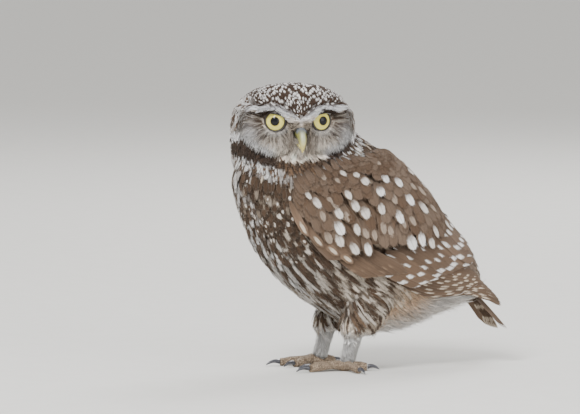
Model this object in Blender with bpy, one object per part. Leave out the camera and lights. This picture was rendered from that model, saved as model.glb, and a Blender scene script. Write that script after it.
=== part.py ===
"""A little owl at life size, standing with its body side-on and its head turned over its left shoulder.

Metres, +Z up. The body faces -Y and its left side is +X. The origin is on the floor, under the middle of
its length.
"""

import math

import bmesh
import bpy
import numpy as np
from mathutils import Matrix, Vector

MM = 0.001
GAP = 0.3 * MM
UP = Vector((0.0, 0.0, 1.0))

# Body: planar sections along the back's slope, each a half ellipse up and a half ellipse down.
# Rows: distance forward or back, height, tilt of the section, half width, reach up, reach down.
BODY_STATIONS = (
    (-51.0, 134.0, 10.0, 13.0, 40.0, 32.0),
    (-49.0, 121.0, 14.0, 24.5, 49.0, 38.0),
    (-43.0, 108.0, 24.0, 32.5, 51.5, 40.5),
    (-33.0, 97.0, 35.0, 35.5, 50.5, 46.0),
    (-21.0, 88.0, 42.0, 36.5, 48.5, 49.5),
    (-2.3, 72.9, 43.0, 36.5, 45.5, 49.0),
    (13.5, 60.3, 43.0, 33.0, 40.0, 45.5),
    (26.7, 52.1, 43.0, 27.5, 35.0, 42.5),
    (42.1, 48.7, 43.0, 21.0, 26.5, 31.5),
    (57.6, 46.7, 43.0, 14.5, 13.5, 12.5),
    (72.2, 39.9, 43.0, 13.5, 6.5, 6.5),
    (86.8, 25.0, 43.0, 12.0, 4.0, 4.0),
)
NECK_TOP = -13.0 * MM
HEAD_SEAT = 5.0 * MM
NECK_BOTTOM = 13.0 * MM
TORSO_END = 139.0 * MM
BODY_SEGMENTS = 32

# Head: turned to look over the left shoulder.
HEAD_CENTRE = Vector((0.0, -49.0, 143.0)) * MM
HEAD_TURN = math.radians(82.0)
HEAD_FRONT, HEAD_BACK = 21.0 * MM, 31.0 * MM
HEAD_SIDE = 36.3 * MM
HEAD_UP, HEAD_DOWN = 26.3 * MM, 60.0 * MM
HEAD_SQUARENESS = 2.35
EYE_OUT, EYE_UP, EYE_FORWARD = 14.5 * MM, 4.7 * MM, 18.0 * MM
EYE_RADIUS = 8.0 * MM
EYE_SPLAY = math.radians(18.0)
LID_RADIUS, LID_THICKNESS, LID_SEAT = 6.5 * MM, 1.0 * MM, 0.64

# The face: hollows round the eyes with a raised rim, a ridge along each brow, a mound over the bill.
HOLLOW_DEPTH, HOLLOW_SPREAD = 4.2 * MM, 9.0 * MM
RIM_HEIGHT, RIM_RADIUS, RIM_SPREAD = 1.5 * MM, 15.0 * MM, 3.0 * MM
BROW_HEIGHT, BROW_SPREAD = 2.4 * MM, 4.0 * MM
BROW = ((1.5 * MM, 2.0 * MM), (8.5 * MM, 11.0 * MM), (20.0 * MM, 15.0 * MM), (29.0 * MM, 12.0 * MM))
MOUND_HEIGHT, MOUND_UP = 3.6 * MM, -2.0 * MM
MOUND_SPREAD = (5.0 * MM, 8.0 * MM)
FACE_DEPTH = 8.0 * MM

# Bill: rows of distance forward and up from the head's centre, then half widths and half heights.
BILL_UPPER = ((15.5, -2.4), (20.5, -2.0), (24.4, -2.8), (27.2, -5.4), (28.2, -8.6), (27.2, -13.4))
BILL_UPPER_WIDTH = (4.2, 4.2, 3.7, 2.9, 1.9, 0.35)
BILL_UPPER_HEIGHT = (3.4, 3.5, 3.3, 2.8, 1.9, 0.35)
BILL_LOWER = ((15.5, -7.4), (19.5, -7.7), (22.6, -9.0), (24.6, -11.2))
BILL_LOWER_WIDTH = (3.2, 3.1, 2.4, 0.9)
BILL_LOWER_HEIGHT = (1.5, 1.5, 1.3, 0.5)
BILL_GAP = 0.4 * MM
NOSTRIL = Vector((23.4, 3.7, -1.4)) * MM
NOSTRIL_RADIUS = 0.75 * MM

# Feet, legs and claws: the palm of each foot, and for each toe its heading, length and claw length.
PALM = {"left": Vector((18.0, -23.0, 3.2)) * MM, "right": Vector((-18.0, -27.0, 3.2)) * MM}
TOES = {
    1: (158.0, 10.5 * MM, 8.0 * MM),
    2: (-24.0, 16.0 * MM, 9.5 * MM),
    3: (5.0, 20.0 * MM, 9.5 * MM),
    4: (96.0, 16.0 * MM, 8.5 * MM),
}
PALM_SIZE = Vector((4.6, 4.8, 3.7)) * MM
TOE_RADIUS = 2.7 * MM
TOE_SWELLS = (1.15, 1.06, 0.86, 1.0, 0.88, 1.02, 0.7)
TOE_ARCH, TOE_TIP_HEIGHT = 0.7 * MM, 2.3 * MM
CLAW_RADII = (1.45 * MM, 1.45 * MM, 1.2 * MM, 0.8 * MM, 0.25 * MM)
CLAW_RISE, CLAW_ARCH, CLAW_DROP = 0.15 * MM, 0.55 * MM, -0.35 * MM
CLAW_TIP_HEIGHT = 0.75 * MM
THIGH_RADII = (15.0 * MM, 12.75 * MM, 8.5 * MM, 7.0 * MM)
THIGH_OVERRUN = 8.0 * MM
SHANK_RADII = (5.0 * MM, 3.8 * MM, 4.0 * MM)
SHANK_OVERRUN = 3.0 * MM
KNEE_BACK, KNEE_HEIGHT = 6.5 * MM, 22.0 * MM
HIP_OUT, HIP_BACK, HIP_HEIGHT = 17.0 * MM, -7.0 * MM, 46.0 * MM
COLOURS = {
    "head_feathers": ((0.24, 0.17, 0.11), 0.85),
    "body_feathers": ((0.50, 0.42, 0.33), 0.85),
    "wing_feathers": ((0.16, 0.105, 0.07), 0.8),
    "tail_feathers": ((0.19, 0.13, 0.085), 0.8),
    "leg_feathers": ((0.66, 0.56, 0.45), 0.9),
    "eye": ((0.75, 0.70, 0.18), 0.1),
    "bill": ((0.55, 0.56, 0.30), 0.45),
    "toe": ((0.40, 0.29, 0.19), 0.7),
    "claw": ((0.03, 0.028, 0.03), 0.35),
}


def clear_scene():
    for item in list(bpy.data.objects):
        bpy.data.objects.remove(item)


def make_material(name):
    colour, roughness = COLOURS[name]
    material = bpy.data.materials.new(name)
    material.use_nodes = True
    shader = material.node_tree.nodes["Principled BSDF"]
    shader.inputs["Base Color"].default_value = (*colour, 1.0)
    shader.inputs["Roughness"].default_value = roughness
    shader.inputs["Metallic"].default_value = 0.0
    return material


def cubic(knots, values):
    """A natural cubic spline through rows of values, as a function of the knot coordinate."""
    knots = np.asarray(knots, float)
    values = np.asarray(values, float)
    steps = np.diff(knots)
    count = len(knots)
    system = np.eye(count)
    right = np.zeros((count, values.shape[1]))
    for i in range(1, count - 1):
        system[i, i - 1 : i + 2] = steps[i - 1], 2 * (steps[i - 1] + steps[i]), steps[i]
        slopes = np.diff(values[i - 1 : i + 2], axis=0) / steps[i - 1 : i + 1, None]
        right[i] = 6 * (slopes[1] - slopes[0])
    bends = np.linalg.solve(system, right)

    def at(x):
        i = int(np.clip(np.searchsorted(knots, x) - 1, 0, count - 2))
        step = steps[i]
        low, high = (knots[i + 1] - x) / step, (x - knots[i]) / step
        straight = low * values[i] + high * values[i + 1]
        return straight + ((low**3 - low) * bends[i] + (high**3 - high) * bends[i + 1]) * step**2 / 6

    return at


def body_sections():
    rows = np.array(BODY_STATIONS)
    rows[:, [0, 1, 3, 4, 5]] *= MM
    rows[:, 2] = np.radians(rows[:, 2])
    reach = np.concatenate([[0.0], np.cumsum(np.hypot(np.diff(rows[:, 0]), np.diff(rows[:, 1])))])
    return cubic(reach - reach[1], rows)


SECTION = body_sections()


def on_section(along, angle):
    """The body's surface at a distance along it and an angle from the back's midline, 90 degrees at left."""
    back, height, tilt, half_width, up, down = SECTION(along)
    reach = (up if math.cos(angle) > 0 else down) * math.cos(angle)
    return Vector(
        (
            half_width * math.sin(angle),
            back + reach * math.cos(tilt),
            height + reach * math.sin(tilt),
        )
    )


def body_normal(along, angle):
    step_along, step_angle = 0.5 * MM, 0.01
    lengthwise = on_section(along + step_along, angle) - on_section(along - step_along, angle)
    round_body = on_section(along, angle + step_angle) - on_section(along, angle - step_angle)
    return round_body.cross(lengthwise).normalized()


def body_point(along, angle, lift=0.0):
    return on_section(along, angle) + body_normal(along, angle) * lift


def head_axes():
    forward = Vector((math.sin(HEAD_TURN), -math.cos(HEAD_TURN), 0.0))
    return forward, UP.cross(forward), UP


def from_head(forward, left, upward):
    """A point given in the head's own directions, in the part's frame."""
    axes = head_axes()
    return HEAD_CENTRE + axes[0] * forward + axes[1] * left + axes[2] * upward


def bump(distance, spread):
    return math.exp(-((distance / spread) ** 2))


def near_line(point, ends):
    """Distance in the face's plane from a point to a chain of straight lines."""
    best = 1.0
    for start, end in zip(ends[:-1], ends[1:]):
        line = Vector(end) - Vector(start)
        share = max(0.0, min(1.0, (point - Vector(start)).dot(line) / line.length_squared))
        best = min(best, (point - Vector(start) - line * share).length)
    return best


def head_point(direction, grow=0.0):
    """The head's surface in a direction from its centre, with brows, eye hollows and the bill's mound."""
    forward, left, upward = direction
    sizes = (
        forward / (HEAD_FRONT if forward > 0 else HEAD_BACK),
        left / HEAD_SIDE,
        upward / (HEAD_UP if upward > 0 else HEAD_DOWN),
    )
    reach = sum(abs(size) ** HEAD_SQUARENESS for size in sizes) ** (-1 / HEAD_SQUARENESS)
    point = Vector(direction) * (reach + grow)
    face = Vector((abs(point.y), point.z))
    if point.x > 0:
        eye = Vector((EYE_OUT, EYE_UP))
        from_mound = Vector((face.x / MOUND_SPREAD[0], (face.y - MOUND_UP) / MOUND_SPREAD[1]))
        depth = -HOLLOW_DEPTH * bump((face - eye).length, HOLLOW_SPREAD)
        depth += RIM_HEIGHT * bump((face - eye).length - RIM_RADIUS, RIM_SPREAD)
        depth += BROW_HEIGHT * bump(near_line(face, BROW), BROW_SPREAD)
        depth += MOUND_HEIGHT * bump(from_mound.length, 1.0)
        point.x += depth * min(1.0, point.x / FACE_DEPTH)
    return from_head(*point)


def new_object(name, bm, material):
    bm.normal_update()
    bmesh.ops.recalc_face_normals(bm, faces=bm.faces)
    mesh = bpy.data.meshes.new(name)
    bm.to_mesh(mesh)
    bm.free()
    mesh.materials.append(material)
    mesh.shade_smooth()
    mesh.set_sharp_from_angle(angle=math.radians(50))
    item = bpy.data.objects.new(name, mesh)
    bpy.context.scene.collection.objects.link(item)
    return item


def split_alike(bm):
    """Splits each four-sided face along the diagonal from its lowest to its highest corner."""

    def corner(vertex):
        return vertex.co.x + 2 * vertex.co.y + 4 * vertex.co.z

    for face in [face for face in bm.faces if len(face.verts) == 4]:
        bmesh.utils.face_split(face, min(face.verts, key=corner), max(face.verts, key=corner))


def bent_box(name, across, along, place, material):
    """A box of 1 x 1 x 1 in as many steps across and along, then bent to where place puts each corner."""
    bm = bmesh.new()
    bmesh.ops.create_cube(bm, size=1.0, matrix=Matrix.Translation((0.5, 0.5, 0.5)))
    for axis, steps in ((0, across), (1, along)):
        edges = [
            edge
            for edge in bm.edges
            if abs(edge.verts[0].co[axis] - edge.verts[1].co[axis]) > 0.5
        ]
        if steps > 1:
            bmesh.ops.subdivide_edges(bm, edges=edges, cuts=steps - 1, use_grid_fill=True)
    split_alike(bm)
    for vertex in bm.verts:
        vertex.co = place(*vertex.co)
    return new_object(name, bm, material)


def bent_tube(name, segments, rings, place, material):
    """A cylinder of radius 1 and length 1 in as many rings, then bent to where place puts each corner."""
    bm = bmesh.new()
    bmesh.ops.create_cone(
        bm,
        cap_ends=True,
        segments=segments,
        radius1=1.0,
        radius2=1.0,
        depth=1.0,
        matrix=Matrix.Translation((0, 0, 0.5)),
    )
    lengthwise = [edge for edge in bm.edges if abs(edge.verts[0].co.z - edge.verts[1].co.z) > 0.5]
    bmesh.ops.subdivide_edges(bm, edges=lengthwise, cuts=rings - 1, use_grid_fill=True)
    for vertex in bm.verts:
        angle = math.atan2(vertex.co.x, vertex.co.y)
        vertex.co = place(vertex.co.z, angle)
    return new_object(name, bm, material)


def ball(name, around, tiers, place, material):
    """A unit sphere, then moved to where place puts each direction."""
    bm = bmesh.new()
    bmesh.ops.create_uvsphere(bm, u_segments=around, v_segments=tiers, radius=1.0)
    for vertex in bm.verts:
        vertex.co = place(vertex.co.normalized())
    return new_object(name, bm, material)


def along_path(points, widths, heights, side):
    """Where a tube's corners go when it follows a path with those half widths and half heights."""
    path = cubic(range(len(points)), [tuple(point) for point in points])
    half_width = cubic(range(len(widths)), [(width,) for width in widths])
    half_height = cubic(range(len(heights)), [(height,) for height in heights])

    def place(share, angle):
        position = share * (len(points) - 1)
        tangent = Vector(path(position + 0.02)) - Vector(path(position - 0.02))
        across = Vector(side).cross(tangent).cross(tangent).normalized()
        if across.dot(Vector(side)) < 0:
            across = -across
        over = tangent.cross(across).normalized()
        wide = float(half_width(share * (len(widths) - 1))[0])
        high = float(half_height(share * (len(heights) - 1))[0])
        return Vector(path(position)) + across * wide * math.sin(angle) + over * high * math.cos(angle)

    return place


def apply_modifiers(item):
    graph = bpy.context.evaluated_depsgraph_get()
    mesh = bpy.data.meshes.new_from_object(item.evaluated_get(graph))
    item.modifiers.clear()
    item.data = mesh


def keep_largest(item):
    """Drops every closed surface of the mesh but the largest."""
    bm = bmesh.new()
    bm.from_mesh(item.data)
    left = set(bm.verts)
    surfaces = []
    while left:
        todo = [left.pop()]
        surface = set(todo)
        while todo:
            for edge in todo.pop().link_edges:
                for vertex in edge.verts:
                    if vertex not in surface:
                        surface.add(vertex)
                        todo.append(vertex)
        left -= surface
        surfaces.append(surface)

    def extent(surface):
        spots = np.array([vertex.co for vertex in surface])
        return float(np.prod(spots.max(0) - spots.min(0)))

    largest = max(surfaces, key=extent)
    bmesh.ops.delete(bm, geom=[vertex for vertex in bm.verts if vertex not in largest], context="VERTS")
    bm.to_mesh(item.data)
    bm.free()


def fuse(item, others):
    """Joins closed pieces to one by a union, and removes them."""
    joined = bpy.data.collections.new(item.name + "_pieces")
    for other in others:
        joined.objects.link(other)
    union = item.modifiers.new("union", "BOOLEAN")
    union.operation = "UNION"
    union.operand_type = "COLLECTION"
    union.collection = joined
    union.solver = "MANIFOLD"
    apply_modifiers(item)
    for other in others:
        bpy.data.objects.remove(other)
    bpy.data.collections.remove(joined)
    keep_largest(item)
    return item


def cut(item, *cutters):
    """Cuts closed shapes from a piece, and removes them."""
    for cutter in cutters:
        difference = item.modifiers.new("cut", "BOOLEAN")
        difference.operation = "DIFFERENCE"
        difference.solver = "MANIFOLD"
        difference.object = cutter
        apply_modifiers(item)
        bpy.data.objects.remove(cutter)
    keep_largest(item)
    return item


def cut_flat(item, point, normal):
    """Cuts off what lies past a plane, and closes the cut."""
    bm = bmesh.new()
    bm.from_mesh(item.data)
    everything = bm.verts[:] + bm.edges[:] + bm.faces[:]
    found = bmesh.ops.bisect_plane(
        bm, geom=everything, dist=1e-7, plane_co=point, plane_no=normal, clear_outer=True
    )
    rim = [edge for edge in found["geom_cut"] if isinstance(edge, bmesh.types.BMEdge)]
    bmesh.ops.contextual_create(bm, geom=rim)
    bmesh.ops.recalc_face_normals(bm, faces=bm.faces)
    bm.to_mesh(item.data)
    bm.free()
    return item


def mirrored(item, name):
    """A copy on the other side of the body's middle plane."""
    bm = bmesh.new()
    bm.from_mesh(item.data)
    for vertex in bm.verts:
        vertex.co.x = -vertex.co.x
    bmesh.ops.reverse_faces(bm, faces=bm.faces)
    return new_object(name, bm, item.data.materials[0])


def body_length(name, start, end, rings, lift, material):
    """A length of the body between two of its sections."""

    def place(share, angle):
        return body_point(start + (end - start) * share, angle, lift)

    return bent_tube(name, BODY_SEGMENTS, rings, place, material)


def torso_shape(name, lift, material):
    return body_length(name, NECK_BOTTOM + GAP, TORSO_END, 16, lift, material)


def make_neck(material):
    """The neck, as a cup that the head sits in."""
    neck = body_length("neck", NECK_TOP, NECK_BOTTOM, 5, 0.0, material)
    return cut(neck, head_shape("head_space", GAP, material))


def eye_axis(side):
    forward, left, _ = head_axes()
    return forward * math.cos(EYE_SPLAY) + left * (side * math.sin(EYE_SPLAY))


def eye_centre(side):
    return from_head(EYE_FORWARD, side * EYE_OUT, EYE_UP) - eye_axis(side) * EYE_RADIUS


def make_eye(name, side, grow, material):
    centre = eye_centre(side)
    axis = eye_axis(side)
    turn = UP.rotation_difference(axis)

    def place(direction):
        return centre + (turn @ direction) * (EYE_RADIUS + grow)

    return ball(name, 18, 10, place, material)


def make_lid(side, material):
    axis = eye_axis(side)
    centre = eye_centre(side) + axis * (EYE_RADIUS * LID_SEAT)
    bpy.ops.mesh.primitive_torus_add(
        major_segments=20,
        minor_segments=6,
        major_radius=LID_RADIUS,
        minor_radius=LID_THICKNESS,
        location=centre,
        rotation=UP.rotation_difference(axis).to_euler(),
    )
    lid = bpy.context.object
    lid.data.transform(lid.matrix_world)
    lid.matrix_world = Matrix.Identity(4)
    lid.data.materials.append(material)
    return lid


def bill_path(rows):
    return [from_head(forward * MM, 0.0, upward * MM) for forward, upward in rows]


def bill_tube(name, path, widths, heights, grow, material):
    side = head_axes()[1]
    place = along_path(
        bill_path(path),
        [width * MM + grow for width in widths],
        [height * MM + grow for height in heights],
        side,
    )
    return bent_tube(name, 12, 10, place, material)


def make_bill(material):
    upper = bill_tube("bill_upper", BILL_UPPER, BILL_UPPER_WIDTH, BILL_UPPER_HEIGHT, 0.0, material)
    nostrils = []
    for side in (-1, 1):
        spot = from_head(NOSTRIL.x, side * NOSTRIL.y, NOSTRIL.z)
        nostrils.append(ball("nostril", 10, 6, lambda way, at=spot: at + way * NOSTRIL_RADIUS, material))
    cut(upper, *nostrils)
    lower = bill_tube("bill_lower", BILL_LOWER, BILL_LOWER_WIDTH, BILL_LOWER_HEIGHT, 0.0, material)
    cut(lower, bill_tube("upper_space", BILL_UPPER, BILL_UPPER_WIDTH, BILL_UPPER_HEIGHT, GAP, material))
    return upper, lower


def head_shape(name, grow, material):
    """The head as a whole form, cut level with its seat in the neck."""

    def place(direction):
        return head_point(direction, grow * 1.3)

    head = ball(name, 40, 26, place, material)
    section = SECTION(NECK_BOTTOM)
    seat_way = Vector((0.0, math.sin(section[2]), -math.cos(section[2])))
    seat = Vector((0.0, section[0], section[1])) + seat_way * (grow - HEAD_SEAT)
    return cut_flat(head, seat, seat_way)


def make_head(material):
    head = head_shape("head", 0.0, material)
    fuse(head, [make_lid(side, material) for side in (-1, 1)])
    sockets = [make_eye("socket", side, GAP, material) for side in (-1, 1)]
    bill_spaces = [
        bill_tube("upper_space", BILL_UPPER, BILL_UPPER_WIDTH, BILL_UPPER_HEIGHT, BILL_GAP, material),
        bill_tube("lower_space", BILL_LOWER, BILL_LOWER_WIDTH, BILL_LOWER_HEIGHT, BILL_GAP, material),
    ]
    return cut(head, *sockets, *bill_spaces)


def leg_points(side):
    """The hip, the knee where the bare shank leaves the thigh's feathers, and the ankle."""
    palm = PALM[side]
    sign = 1 if side == "left" else -1
    hip = Vector((sign * HIP_OUT, HIP_BACK, HIP_HEIGHT))
    knee = Vector((palm.x, palm.y + KNEE_BACK, KNEE_HEIGHT))
    ankle = palm + Vector((0, 1.0 * MM, 1.0 * MM))
    return hip, knee, ankle


def make_thigh(side, material):
    hip, knee, _ = leg_points(side)
    middle = hip.lerp(knee, 0.5) + Vector((0, 1.0 * MM, 0))
    path = [hip, middle, knee, knee - UP * THIGH_OVERRUN]
    place = along_path(path, THIGH_RADII, THIGH_RADII, (1, 0, 0))
    thigh = bent_tube("thigh_" + side, 18, 10, place, material)
    cut(thigh, torso_shape("torso_space", GAP, material))
    return cut_flat(thigh, knee, -UP)


def make_shank(side, grow, name, material):
    _, knee, ankle = leg_points(side)
    radii = [radius + grow for radius in SHANK_RADII]
    path = [knee + UP * SHANK_OVERRUN, knee.lerp(ankle, 0.5), ankle]
    place = along_path(path, radii, radii, (1, 0, 0))
    return cut_flat(bent_tube(name, 12, 5, place, material), knee - UP * GAP, UP)


def toe_way(side, number):
    heading = math.radians(TOES[number][0]) * (1 if side == "left" else -1)
    return Vector((math.sin(heading), -math.cos(heading), 0.0))


def toe_end(side, number):
    floor_spot = PALM[side].copy()
    floor_spot.z = TOE_TIP_HEIGHT
    return floor_spot + toe_way(side, number) * (TOES[number][1] + TOE_RADIUS)


def make_toe(side, number, material):
    way = toe_way(side, number)
    start, end = PALM[side], toe_end(side, number)
    arch = UP * TOE_ARCH
    points = [start, start.lerp(end, 0.35) + arch, start.lerp(end, 0.7) + arch * 0.6, end, end + way * MM]
    radii = [TOE_RADIUS * swell for swell in TOE_SWELLS]
    place = along_path(points, radii, radii, way.cross(UP))
    return cut_flat(bent_tube(f"toe_{side}_{number}", 8, 8, place, material), end, way)


def make_foot(side, material):
    palm = PALM[side]

    def place(direction):
        return palm + Vector([way * size for way, size in zip(direction, PALM_SIZE)])

    foot = ball("foot_" + side, 14, 8, place, material)
    fuse(foot, [make_toe(side, number, material) for number in TOES])
    cut_flat(foot, Vector((0, 0, 0)), -UP)
    return cut(foot, make_shank(side, GAP, "ankle_space", material))


def make_claw(side, number, material):
    way = toe_way(side, number)
    length = TOES[number][2]
    root = toe_end(side, number) + UP * CLAW_RISE
    points = [
        root - way * MM,
        root + way * GAP,
        root + way * length * 0.34 + UP * CLAW_ARCH,
        root + way * length * 0.7 + UP * CLAW_DROP,
        root + way * length * 0.93 + UP * (CLAW_TIP_HEIGHT - root.z),
    ]
    place = along_path(points, CLAW_RADII, CLAW_RADII, way.cross(UP))
    claw = bent_tube(f"claw_{side}_{number}", 8, 7, place, material)
    return cut_flat(claw, toe_end(side, number) + way * GAP, -way)


# The wing's pad, which its feathers root in, a little off the body: at distances along the body, the
# angle of its upper and of its lower edge from the back's midline.
WING_CLEARANCE = 0.5 * MM
PAD_TOP = cubic((24, 40, 70, 92), [(70,), (40,), (22,), (20,)])
PAD_LOW = cubic((24, 40, 70, 92), [(112,), (120,), (111,), (101,)])
PAD_START, PAD_END = 24 * MM, 92 * MM
PAD_THICKNESS = 1.2 * MM

# A vane's outline: share of its length, then share of its full width. Each vane of a tier lies one
# layer over the next.
VANE_OUTLINE = ((0.0, 0.5), (0.4, 0.9), (0.8, 1.0), (1.0, 0.3))
VANE_THICKNESS = 0.5 * MM
VANE_LAYER = 0.9 * MM

# Wing feathers by tier, each from its first vane to its last: how many, the first root and tip and the
# last root and tip (distance along the body, angle from the back's midline), width, lift at mid and tip.
WING_TIERS = {
    "primaries": (7, (80, 101), (136, 88), (88, 74), (130, 44), 4.8, 2.0, 1.5),
    "secondaries": (7, (62, 108), (99, 98), (74, 50), (124, 34), 7.4, 4.0, 3.8),
    "tertials": (3, (76, 40), (122, 34), (74, 26), (112, 20), 9.0, 4.6, 4.6),
    "primary_coverts": (3, (52, 115), (70, 112), (56, 105), (79, 98), 5.2, 3.0, 3.8),
    "greater_coverts": (7, (46, 111), (62, 106), (64, 46), (92, 42), 8.0, 4.4, 5.2),
    "median_coverts": (6, (29, 110), (48, 108), (46, 46), (74, 42), 9.0, 3.6, 5.2),
    "lesser_coverts": (5, (23, 104), (37, 106), (34, 48), (56, 42), 9.4, 2.8, 4.6),
    "scapulars_low": (4, (38, 58), (62, 52), (30, 30), (60, 22), 9.0, 4.2, 6.0),
    "scapulars_high": (4, (54, 44), (82, 38), (50, 22), (82, 16), 9.5, 4.8, 6.0),
    "alula": (2, (28, 118), (51, 119), (28, 111), (44, 111), 4.6, 2.0, 2.9),
}
LONGEST_PRIMARY = 2
PRIMARY_REACH = 23 * MM

TAIL_FEATHERS = 12
TAIL_LENGTH = 36.0 * MM
TAIL_DROP = 0.8 * MM
TAIL_BASE = Vector((25.0, 8.0, 4.6)) * MM
TAIL_ROOT = 2.0 * MM
TAIL_LAYER = 0.62 * MM
TAIL_FAN = 2.7 * MM
TAIL_WIDTH = 5.6 * MM
TAIL_TILT = 0.06
TAIL_ROUNDING = 0.012


def make_vane(edge_at, material):
    """A feather's blade. Edge_at gives the middle of its edge at a share of its length, and the way out."""

    def place(across, share, depth):
        along, wide = VANE_OUTLINE[round(share * (len(VANE_OUTLINE) - 1))]
        edge, out = edge_at(along, (2 * across - 1) * wide)
        thickness = VANE_THICKNESS * (1.0 if along < 0.9 else 0.7)
        return edge + out * (depth - 0.5) * thickness

    return bent_box("vane", 1, len(VANE_OUTLINE) - 1, place, material)


def wing_vane(root, tip, half_width, tilt, lifts, material):
    """A vane over the body's side, from its root in the wing's pad to its tip."""
    rise = cubic((0.0, 0.5, 1.0), [(PAD_THICKNESS * 0.9,), (lifts[0],), (lifts[1],)])

    def edge_at(share, side):
        along, angle = root.lerp(tip, share)
        lengthwise = (on_section(along + MM, angle) - on_section(along - MM, angle)) / (2 * MM)
        downwards = (on_section(along, angle + 0.02) - on_section(along, angle - 0.02)) / 0.04
        run = lengthwise * (tip.x - root.x) + downwards * (tip.y - root.y)
        turned = Vector((-run.dot(downwards.normalized()), run.dot(lengthwise.normalized()))).normalized()
        off = side * half_width
        spot_along = along + turned.x * off / lengthwise.length
        spot_angle = angle + turned.y * off / downwards.length
        lift = float(rise(share)[0]) + off * tilt
        return body_point(spot_along, spot_angle, lift), body_normal(spot_along, spot_angle)

    return make_vane(edge_at, material)


def wing_spot(along, angle):
    return Vector((along * MM, math.radians(angle)))


def make_wing(material):
    def place(across, share, depth):
        along = PAD_START + (PAD_END - PAD_START) * share
        low, top = PAD_LOW(along / MM)[0], PAD_TOP(along / MM)[0]
        edge = min(1.0, 5 * min(across, 1 - across) + 0.2)
        thickness = PAD_THICKNESS * (0.5 + 0.5 * edge) * (1 - 0.45 * share)
        angle = math.radians(top + (low - top) * across)
        return body_point(along, angle, WING_CLEARANCE + depth * thickness)

    wing = bent_box("wing_left", 6, 9, place, material)
    vanes = []
    for tier, (count, *ends, width, middle_lift, tip_lift) in WING_TIERS.items():
        first_root, first_tip, last_root, last_tip = (wing_spot(*end) for end in ends)
        first_middle = body_point(*first_root.lerp(first_tip, 0.6))
        last_middle = body_point(*last_root.lerp(last_tip, 0.6))
        tilt = VANE_LAYER * (count - 1) / (last_middle - first_middle).length
        for i in range(count):
            share = i / (count - 1)
            root, tip = first_root.lerp(last_root, share), first_tip.lerp(last_tip, share)
            if tier == "primaries":
                tip.x += PRIMARY_REACH * bump(i - LONGEST_PRIMARY, 4.0)
            lifts = [WING_CLEARANCE + lift * MM for lift in (middle_lift, tip_lift)]
            vanes.append(wing_vane(root, tip, width * MM / 2, tilt, lifts, material))
    return fuse(wing, vanes)


def make_tail(material):
    section = SECTION(TORSO_END)
    tilt = section[2]
    back = Vector((0, math.sin(tilt), -math.cos(tilt)))
    over = Vector((0, math.cos(tilt), math.sin(tilt)))
    root = Vector((0, section[0], section[1])) + back * GAP - over * TAIL_DROP

    def base_spot(across, share, depth):
        narrowing = 1 - 0.2 * share
        side = (across - 0.5) * TAIL_BASE.x * narrowing
        middle = root + back * TAIL_BASE.y * share
        return middle + Vector((side, 0, 0)) + over * (depth - 0.5) * TAIL_BASE.z * narrowing

    tail = bent_box("tail", 2, 1, base_spot, material)
    vanes = []
    for i in range(TAIL_FEATHERS):
        place = i - (TAIL_FEATHERS - 1) / 2
        length = TAIL_LENGTH * (1 - TAIL_ROUNDING * abs(place) ** 1.5) - TAIL_ROOT
        layer = TAIL_LAYER * (TAIL_FEATHERS / 4 - abs(place))

        def edge_at(share, side, place=place, length=length, layer=layer):
            off = side * TAIL_WIDTH / 2
            across = TAIL_FAN * place * (0.7 + 0.3 * share) + off
            lift = layer - math.copysign(off * TAIL_TILT, place * off)
            return root + Vector((across, 0, 0)) + back * (TAIL_ROOT + length * share) + over * lift, over

        vanes.append(make_vane(edge_at, material))
    return fuse(tail, vanes)


def main():
    clear_scene()
    materials = {name: make_material(name) for name in COLOURS}
    make_head(materials["head_feathers"])
    make_bill(materials["bill"])
    for name, side in (("eye_right", -1), ("eye_left", 1)):
        make_eye(name, side, 0.0, materials["eye"])
    make_neck(materials["body_feathers"])
    torso_shape("torso", 0.0, materials["body_feathers"])
    wing = make_wing(materials["wing_feathers"])
    mirrored(wing, "wing_right")
    make_tail(materials["tail_feathers"])
    for side in PALM:
        make_thigh(side, materials["leg_feathers"])
        make_shank(side, 0.0, "shank_" + side, materials["leg_feathers"])
        make_foot(side, materials["toe"])
        for number in TOES:
            make_claw(side, number, materials["claw"])


main()
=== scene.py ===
import math

import bmesh
import bpy
import numpy as np
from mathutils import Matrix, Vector, kdtree
from mathutils.bvhtree import BVHTree


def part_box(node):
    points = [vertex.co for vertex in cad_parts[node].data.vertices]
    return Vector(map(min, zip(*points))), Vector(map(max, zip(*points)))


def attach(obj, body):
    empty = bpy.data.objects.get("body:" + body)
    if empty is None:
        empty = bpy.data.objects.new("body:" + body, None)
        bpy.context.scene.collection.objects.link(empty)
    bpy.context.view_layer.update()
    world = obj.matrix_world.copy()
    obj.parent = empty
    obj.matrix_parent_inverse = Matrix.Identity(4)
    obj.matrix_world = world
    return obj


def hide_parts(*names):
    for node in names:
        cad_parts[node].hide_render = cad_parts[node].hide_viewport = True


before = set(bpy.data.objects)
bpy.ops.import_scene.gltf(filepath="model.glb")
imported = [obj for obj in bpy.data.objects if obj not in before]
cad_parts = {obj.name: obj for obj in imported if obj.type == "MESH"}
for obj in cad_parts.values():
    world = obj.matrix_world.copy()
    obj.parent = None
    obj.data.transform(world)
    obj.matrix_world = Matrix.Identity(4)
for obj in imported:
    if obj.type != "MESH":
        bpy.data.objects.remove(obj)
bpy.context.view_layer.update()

# A standing little owl: skin, coat, wings, tail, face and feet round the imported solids.
# Lengths are in mm unless a note says metres, and times mm they are metres.
mm = 0.001
chance = np.random.default_rng(7)

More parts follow.
